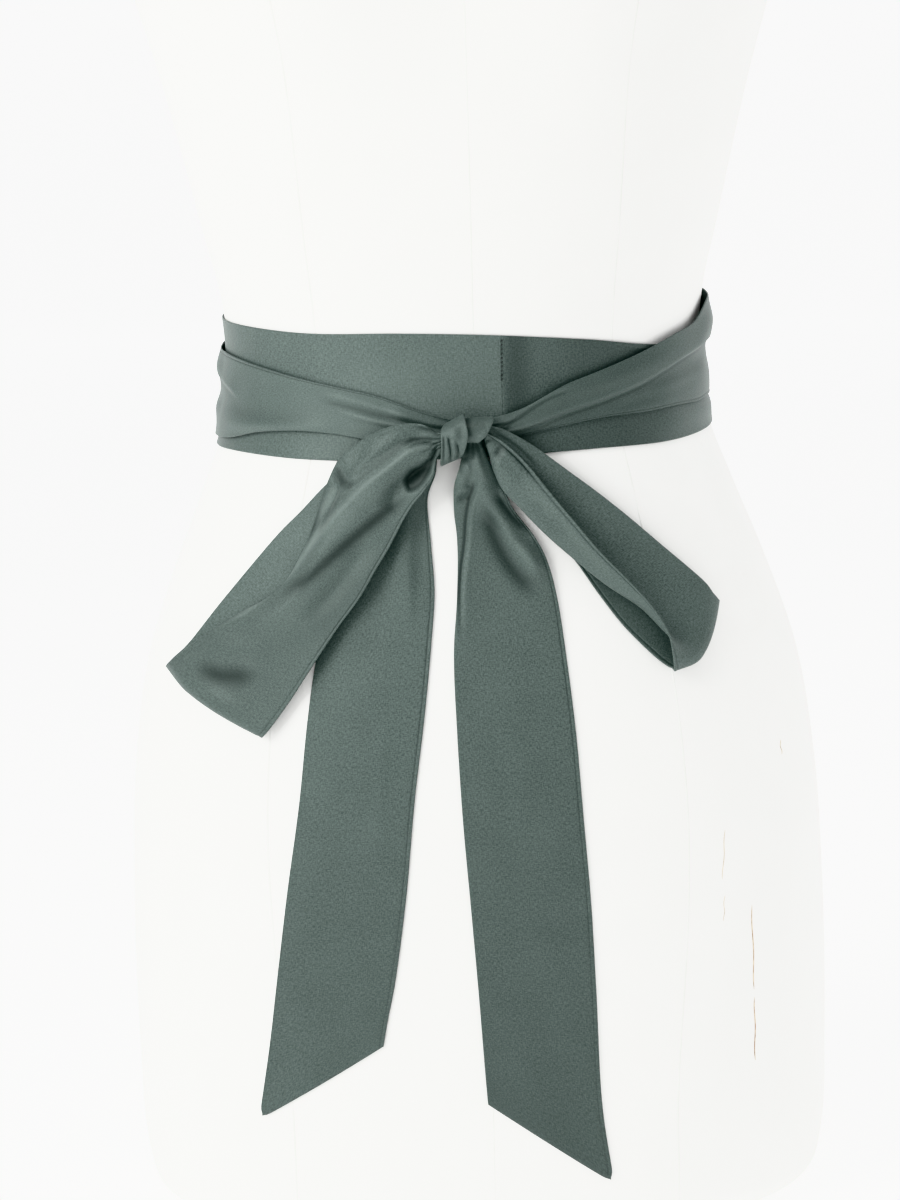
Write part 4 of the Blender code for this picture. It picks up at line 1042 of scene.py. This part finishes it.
def form_paint():
    """White paint over papier-mache: matte, a little uneven, faintly mottled."""
    nodes = Nodes("form_paint")
    place = nodes.place()
    mottle = nodes.noise(place, 26.0, 5.0, Roughness=0.62)
    grain = nodes.noise(place, 320.0, 2.0)
    flecks = nodes.add("ShaderNodeTexVoronoi", Vector=place, Scale=34.0).outputs["Distance"]
    colour = nodes.mix(nodes.between(mottle, 0.35, 0.75, 0.0, 1.0), FORM_WHITE, FORM_SHADE)
    return nodes.finish(
        Base_Color=nodes.mix(nodes.between(flecks, 0.0, 0.045, 0.35, 0.0), colour, FORM_SEAM),
        Roughness=nodes.between(mottle, 0.3, 0.7, 0.46, 0.6),
        Specular_IOR_Level=0.35,
        Normal=nodes.bump(grain, 0.12, 0.0003, Normal=nodes.bump(mottle, 0.35, 0.0012)))


def speckled(name, colour, other, roughness, scale):
    """A plain finish with a little variation, for thread, seam paper and worn spots."""
    nodes = Nodes(name)
    place = nodes.place()
    spots = nodes.noise(place, scale, 3.0)
    return nodes.finish(Base_Color=nodes.mix(nodes.between(spots, 0.35, 0.65, 0.0, 1.0), colour, other),
                        Roughness=roughness, Normal=nodes.bump(spots, 0.3, 0.0002))


def studio_white():
    """The stage's finish, which lights itself a little so that it stays pale."""
    nodes = Nodes("studio_white")
    place = nodes.place()
    cloud = nodes.noise(place, 1.2, 2.0)
    return nodes.finish(
        Base_Color=nodes.mix(nodes.between(cloud, 0.3, 0.7, 0.0, 1.0), FLOOR_WHITE, FLOOR_SHADE),
        Roughness=0.9, Specular_IOR_Level=0.1, Emission_Color=WHITE, Emission_Strength=0.7)


# Pieces
def declare(piece, node):
    """What the export is told of a piece."""
    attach(piece, "root")
    if node:
        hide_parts(node)


def build_form(finish):
    """The dress form with finer points than its solid, on the same surface."""
    foot = BOTTOM_EDGE_RADIUS * (1 - np.cos(np.linspace(0, np.pi / 2, FOOT_RINGS)))
    body = np.arange(BOTTOM_EDGE_RADIUS + FORM_ROW_SPACING,
                     FORM_HEIGHT - NECK_EDGE_RADIUS - LEAST_RING_GAP, FORM_ROW_SPACING)
    neck = FORM_HEIGHT - NECK_EDGE_RADIUS * (1 - np.cos(np.linspace(np.pi / 2, 0, NECK_RINGS)))
    heights = np.concatenate([foot, body, neck])
    turns = np.arange(FORM_POINTS_ROUND) * 360 / FORM_POINTS_ROUND
    points = form_surface(turns[None, :], heights[:, None])
    number = np.arange(points.shape[0] * points.shape[1]).reshape(points.shape[:2])
    beside = np.roll(number, -1, axis=1)
    faces = np.stack([number[:-1], beside[:-1], beside[1:], number[1:]], axis=-1).reshape(-1, 4).tolist()
    points = points.reshape(-1, 3).tolist()
    for ring, height, turned in ((number[0], 0.0, True), (number[-1], FORM_HEIGHT, False)):
        points.append([0.0, 0.0, height])
        for first, second in zip(ring, np.roll(ring, -1)):
            triangle = [int(first), int(second), len(points) - 1]
            faces.append(triangle[::-1] if turned else triangle)
    made = mesh_object("dress_form_shell", points, faces, finish)
    made.data.set_sharp_from_angle(angle=SHARP_ANGLE)
    return made


# A raised strip sinks a little into its surface and narrows at both ends: the share of its width
# that is left there, and how sharply it narrows
STRIP_SINK = 0.05
STRIP_LEAST_WIDTH = 0.02
STRIP_TAPER_POWER = 6


def strip(points, normals, width, height):
    """The points and faces of a thin raised strip along a line on a surface."""
    way = unit(np.gradient(points, axis=0))
    side = unit(np.cross(way, normals))
    taper = 1 - np.linspace(-1, 1, len(points)) ** STRIP_TAPER_POWER
    taper = np.sqrt(np.clip(taper, STRIP_LEAST_WIDTH, 1))[:, None]
    edge, top = side * width / 2 * taper, side * width / 4 * taper
    rows = np.stack([points - edge - normals * STRIP_SINK, points - top + normals * height,
                     points + top + normals * height, points + edge - normals * STRIP_SINK], axis=1)
    faces = []
    for i in range(len(points) - 1):
        for j in range(4):
            k = (j + 1) % 4
            faces.append([i * 4 + j, i * 4 + k, (i + 1) * 4 + k, (i + 1) * 4 + j])
    faces += [[3, 2, 1, 0], [(len(points) - 1) * 4 + j for j in range(4)]]
    return rows.reshape(-1, 3), faces


def joined(name, parts, finish):
    """One mesh object from several strips."""
    points, faces = [], []
    for part_points, part_faces in parts:
        start = len(points)
        points.extend(part_points.tolist())
        faces.extend([[start + k for k in face] for face in part_faces])
    return mesh_object(name, points, faces, finish)


def surface_normals(turn, height):
    """The ways square to the form's surface."""
    near = beside_form(turn, height, np.zeros(np.shape(turn)))
    return beside_form(turn, height, np.ones(np.shape(turn))) - near


# Lines on the form where its paper panels meet: (height, turn)
FORM_LINES = {
    "centre_front": [(6, 1.6), (200, 1.9), (440, 2.6), (575, 2.2), (760, 2.0), (800, 2.0)],
    "princess_right": [(6, 42), (70, 41.5), (210, 44), (440, 43), (575, 41), (720, 52)],
    "princess_left": [(6, -42), (70, -41.5), (210, -44), (440, -43), (575, -41), (720, -52)],
    "side_right": [(6, 92), (200, 92), (440, 91), (700, 93), (742, 93)],
    "side_left": [(6, -92), (200, -92), (440, -91), (700, -93), (742, -93)],
    "centre_back": [(6, 180), (400, 180), (800, 180)],
}
FORM_LINE_WIDTH = 1.0
FORM_LINE_HEIGHT = 0.06
FORM_LINE_STEPS = 24     # points between each place and the next

# Scratches low on the form's right: from (x, height) to (x, height), and their width
SCRATCHES = [
    (128.7, 153.0, 129.2, 112.0, 1.0),
    (129.3, 108.0, 129.2, 77.0, 0.9),
    (116.1, 191.0, 114.4, 168.0, 0.4),
    (115.2, 160.0, 114.6, 148.0, 0.3),
    (145.3, 227.4, 146.1, 220.5, 0.6),
    (102.9, 311.5, 103.3, 309.3, 1.1),
]
SCRATCH_POINTS = 14
SCRATCH_SWAY = 0.25      # how far a scratch sways from straight
SCRATCH_SWAY_TURN = 9.0  # radians of the sway along a scratch
SCRATCH_HEIGHT = 0.05
FRONT_FLATNESS = 1.2     # how much flatter than a circle the form's front is


def build_form_lines(finish):
    """The thin raised lines where the form's paper panels meet."""
    parts = []
    for points in FORM_LINES.values():
        line = smooth_line(np.array(points, dtype=float), FORM_LINE_STEPS)
        height, turn = line[:, 0], line[:, 1]
        surface = beside_form(turn, height, np.zeros(len(turn)))
        parts.append(strip(surface, surface_normals(turn, height), FORM_LINE_WIDTH, FORM_LINE_HEIGHT))
    return joined("form_panel_lines", parts, finish)


def build_scratches(finish):
    """The worn spots where the paint is scratched off."""
    parts = []
    for x_top, top, x_low, low, width in SCRATCHES:
        t = np.linspace(0, 1, SCRATCH_POINTS)
        height = top + (low - top) * t
        x = x_top + (x_low - x_top) * t + SCRATCH_SWAY * np.sin(SCRATCH_SWAY_TURN * t + x_top)
        surface = before_form(x, height, 0.0)
        forward = unit(np.array([x, surface[:, 1] * FRONT_FLATNESS, 0 * x]).T)
        parts.append(strip(surface, forward, width, SCRATCH_HEIGHT))
    return joined("form_scratches", parts, finish)


# The cross seam's stitches. The turn and the slant are in degrees and the rest in millimetres.
STITCH_TURN = 10.8
STITCH_FROM = 406.5
STITCH_TO = 426.0
STITCH_SPACING = 2.0
STITCH_LENGTH = 1.3
STITCH_SLANT = 0.45      # how far a stitch goes round the form
STITCH_WIDTH = 0.75
STITCH_HEIGHT = 0.12
STITCH_OUT = 1.32        # from the form's surface to a stitch's ends
STITCH_BULGE = 0.18      # how much further out its middle is
STITCH_POINTS = 6

# Places round the form, a tenth of a degree apart, that make the mesh finer at the cross seam
CROSS_SEAM_TURNS = STITCH_TURN + np.linspace(-1.0, 1.0, 21)


def build_stitches(finish):
    """Short slanted threads across the seam that joins the sash's two halves."""
    parts = []
    for height in np.arange(STITCH_FROM, STITCH_TO, STITCH_SPACING):
        t = np.linspace(-0.5, 0.5, STITCH_POINTS)
        turn = STITCH_TURN + STITCH_SLANT * t
        level = height + STITCH_LENGTH * t
        points = beside_form(turn, level, STITCH_OUT + STITCH_BULGE * np.cos(np.pi * t))
        parts.append(strip(points, surface_normals(turn, level), STITCH_WIDTH, STITCH_HEIGHT))
    return joined("cross_seam_stitches", parts, finish)


def build_cloth(cloth, knot_painted_shade_satin):
    """Every stretch of the sash as a thin shell.

    Each has its cloth, the edge that its seam runs along, its node, its flat width and length in
    metres, how it is held, and what it rests on.
    """
    stretches = {
        "first_wrap_cloth": (
            wrap_cloth(FIRST_WRAP, (), FIRST_WRAP_CREASES, None, PAINTED_BROAD_SHADES["first_wrap"], CROSS_SEAM_TURNS),
            None, "sash_first_wrap", (0.0575, 0.625), "stretched", ["dress_form"]),
        "second_wrap_left_cloth": (
            wrap_cloth(SECOND_WRAP_LEFT, LEFT_WRAP_FOLDS, LEFT_WRAP_CREASES, GATHERS["left_wrap"]),
            1, "sash_second_wrap_left", (0.044, 0.345), "stretched", ["sash_first_wrap"]),
        "second_wrap_right_cloth": (
            wrap_cloth(SECOND_WRAP_RIGHT, RIGHT_WRAP_FOLDS, RIGHT_WRAP_CREASES, GATHERS["right_wrap"],
                       PAINTED_BROAD_SHADES["right_wrap"]),
            0, "sash_second_wrap_right", (0.046, 0.345), "folded", ["sash_first_wrap"]),
        "loop_left_cloth": (
            loop_cloth(LEFT_LOOP, LEFT_LOOP_MID, LEFT_LOOP_FOLDS, LEFT_LOOP_CREASES,
                       GATHERS["left_loop"], LEFT_LOOP_BOW, PAINTED_BROAD_SHADES["left_loop"]),
            1, "bow_loop_left", (0.0575, 0.30), "folded", ["bow_knot", "tail_left"]),
        "loop_right_cloth": (
            loop_cloth(RIGHT_LOOP, RIGHT_LOOP_MID, RIGHT_LOOP_FOLDS, RIGHT_LOOP_CREASES,
                       GATHERS["right_loop"], RIGHT_LOOP_BOW, PAINTED_BROAD_SHADES["right_loop"]),
            1, "bow_loop_right", (0.046, 0.27), "folded", ["bow_knot", "dress_form"]),
        "tail_left_cloth": (
            tail_cloth(TAIL_LEFT, LEFT_TAIL_FOLDS, LEFT_TAIL_CREASES, GATHERS["left_tail"],
                       PAINTED_BROAD_SHADES["left_tail"], point=0),
            1, "tail_left", (0.0575, 0.33), "hung", ["bow_knot", "dress_form"]),
        "tail_right_cloth": (
            tail_cloth(TAIL_RIGHT, RIGHT_TAIL_FOLDS, RIGHT_TAIL_CREASES, GATHERS["right_tail"],
                       PAINTED_BROAD_SHADES["right_tail"], point=1),
            1, "tail_right", (0.0575, 0.36), "hung", ["bow_knot", "dress_form"]),
        "knot_band_cloth": (
            tail_cloth(KNOT_BAND, (), KNOT_BAND_CREASES, None, steps=KNOT_STEPS),
            None, "bow_knot", (0.013, 0.042), "folded", ["bow_loop_left", "bow_loop_right"]),
        "knot_flap_cloth": (
            tail_cloth(KNOT_FLAP, (), KNOT_FLAP_CREASES, None, steps=KNOT_STEPS),
            None, "bow_knot", (0.013, 0.026), "folded", ["bow_loop_left", "bow_loop_right"]),
    }
    for name, (surface, seam_at, node, flat, held, rests_on) in stretches.items():
        knot = node == "bow_knot"
        made = shell(name, surface, KNOT_THICKNESS if knot else CLOTH_THICKNESS,
                     knot_painted_shade_satin if knot else cloth, seam_at)
        declare(made, node)


# Stage, camera and light
CAMERA_TARGET = (-0.010, 0.0, 0.290)
CAMERA_DISTANCE = 1.8
CAMERA_PITCH = math.radians(9.0)
CAMERA_ROLL = math.radians(1.65)
IMAGE_HEIGHT = 1200
FOCAL_PIXELS = 3673
SENSOR = 36.0

# Soft lights, which all face one target: place, size, power and colour
LIGHT_TARGET = (0.0, 0.0, 0.33)
LIGHTS = {
    "window_left": ((-1.9, -1.5, 1.55), 1.5, 70.0, (1.0, 1.0, 0.99)),
    "window_right_back": ((2.0, 0.5, 0.8), 1.2, 11.0, (1.0, 1.0, 1.0)),
    "sky_above": ((0.1, -0.5, 2.4), 1.6, 16.0, (1.0, 1.0, 1.0)),
}
WORLD_BRIGHTNESS = 0.62
VIEW_TRANSFORM = "Khronos PBR Neutral"

# The floor and the backdrop that it sweeps up into
FLOOR_FRONT = -5000.0
FLOOR_BACK = 5000.0
FLOOR_HALF_WIDTH = 6000.0
SWEEP_RADIUS = 800.0
BACKDROP_HEIGHT = 5000.0
SWEEP_STEP = 6           # degrees between the sweep's points


def build_stage():
    """A pale floor that curves up into a backdrop."""
    profile = [(FLOOR_FRONT, 0.0), (FLOOR_BACK, 0.0)]
    for angle in np.radians(np.arange(SWEEP_STEP, 90 + SWEEP_STEP, SWEEP_STEP)):
        profile.append((FLOOR_BACK + SWEEP_RADIUS * math.sin(angle), SWEEP_RADIUS * (1 - math.cos(angle))))
    profile.append((FLOOR_BACK + SWEEP_RADIUS, BACKDROP_HEIGHT))
    points = [(x, y, z) for y, z in profile for x in (-FLOOR_HALF_WIDTH, FLOOR_HALF_WIDTH)]
    faces = [[2 * i, 2 * i + 1, 2 * i + 3, 2 * i + 2] for i in range(len(profile) - 1)]
    mesh_object("studio_floor", points, faces, studio_white())


def build_camera():
    """The photograph's view, from straight ahead and a little above."""
    camera = bpy.data.cameras.new("photo_view")
    camera.sensor_fit = "AUTO"
    camera.sensor_width = SENSOR
    camera.lens = FOCAL_PIXELS / IMAGE_HEIGHT * SENSOR
    made = new_object("photo_view", camera)
    forward = Vector((0.0, math.cos(CAMERA_PITCH), -math.sin(CAMERA_PITCH)))
    made.location = Vector(CAMERA_TARGET) - forward * CAMERA_DISTANCE
    tilt = Matrix.Rotation(math.pi / 2 - CAMERA_PITCH, 3, "X")
    made.rotation_euler = (tilt @ Matrix.Rotation(-CAMERA_ROLL, 3, "Z")).to_euler()
    bpy.context.scene.camera = made


def build_lights():
    """The windows and the sky as soft lights, a pale room round them, and how the picture is shown."""
    for name, (place, size, power, colour) in LIGHTS.items():
        light = bpy.data.lights.new(name, "AREA")
        light.shape = "SQUARE"
        light.size = size
        light.energy = power
        light.color = colour
        made = new_object(name, light)
        made.location = place
        way = Vector(LIGHT_TARGET) - Vector(place)
        made.rotation_euler = way.to_track_quat("-Z", "Y").to_euler()
    world = bpy.data.worlds.new("pale_room")
    world.use_nodes = True
    background = world.node_tree.nodes["Background"]
    background.inputs["Color"].default_value = WHITE
    background.inputs["Strength"].default_value = WORLD_BRIGHTNESS
    bpy.context.scene.world = world
    bpy.context.scene.view_settings.view_transform = VIEW_TRANSFORM


def build():
    """Everything in the picture, each piece with what the export is told of it."""
    build_camera()
    build_lights()
    build_stage()
    declare(build_form(form_paint()), "dress_form")
    paper = speckled("panel_paper", FORM_SEAM, FORM_SHADE, roughness=0.7, scale=60.0)
    declare(build_form_lines(paper), None)
    worn = speckled("worn_spots", WEAR_BROWN, WEAR_PALE, roughness=0.8, scale=300.0)
    declare(build_scratches(worn), None)
    # The knot's copy of the satin is a little darker all over: painted shade
    build_cloth(satin("sage_satin"), satin("sage_satin_knot_painted_shade", darker=0.96))
    thread = speckled("dark_thread", THREAD_AND_PAINTED_SHADE, THREAD_LIGHT, roughness=0.6, scale=900.0)
    declare(build_stitches(thread), None)


build()
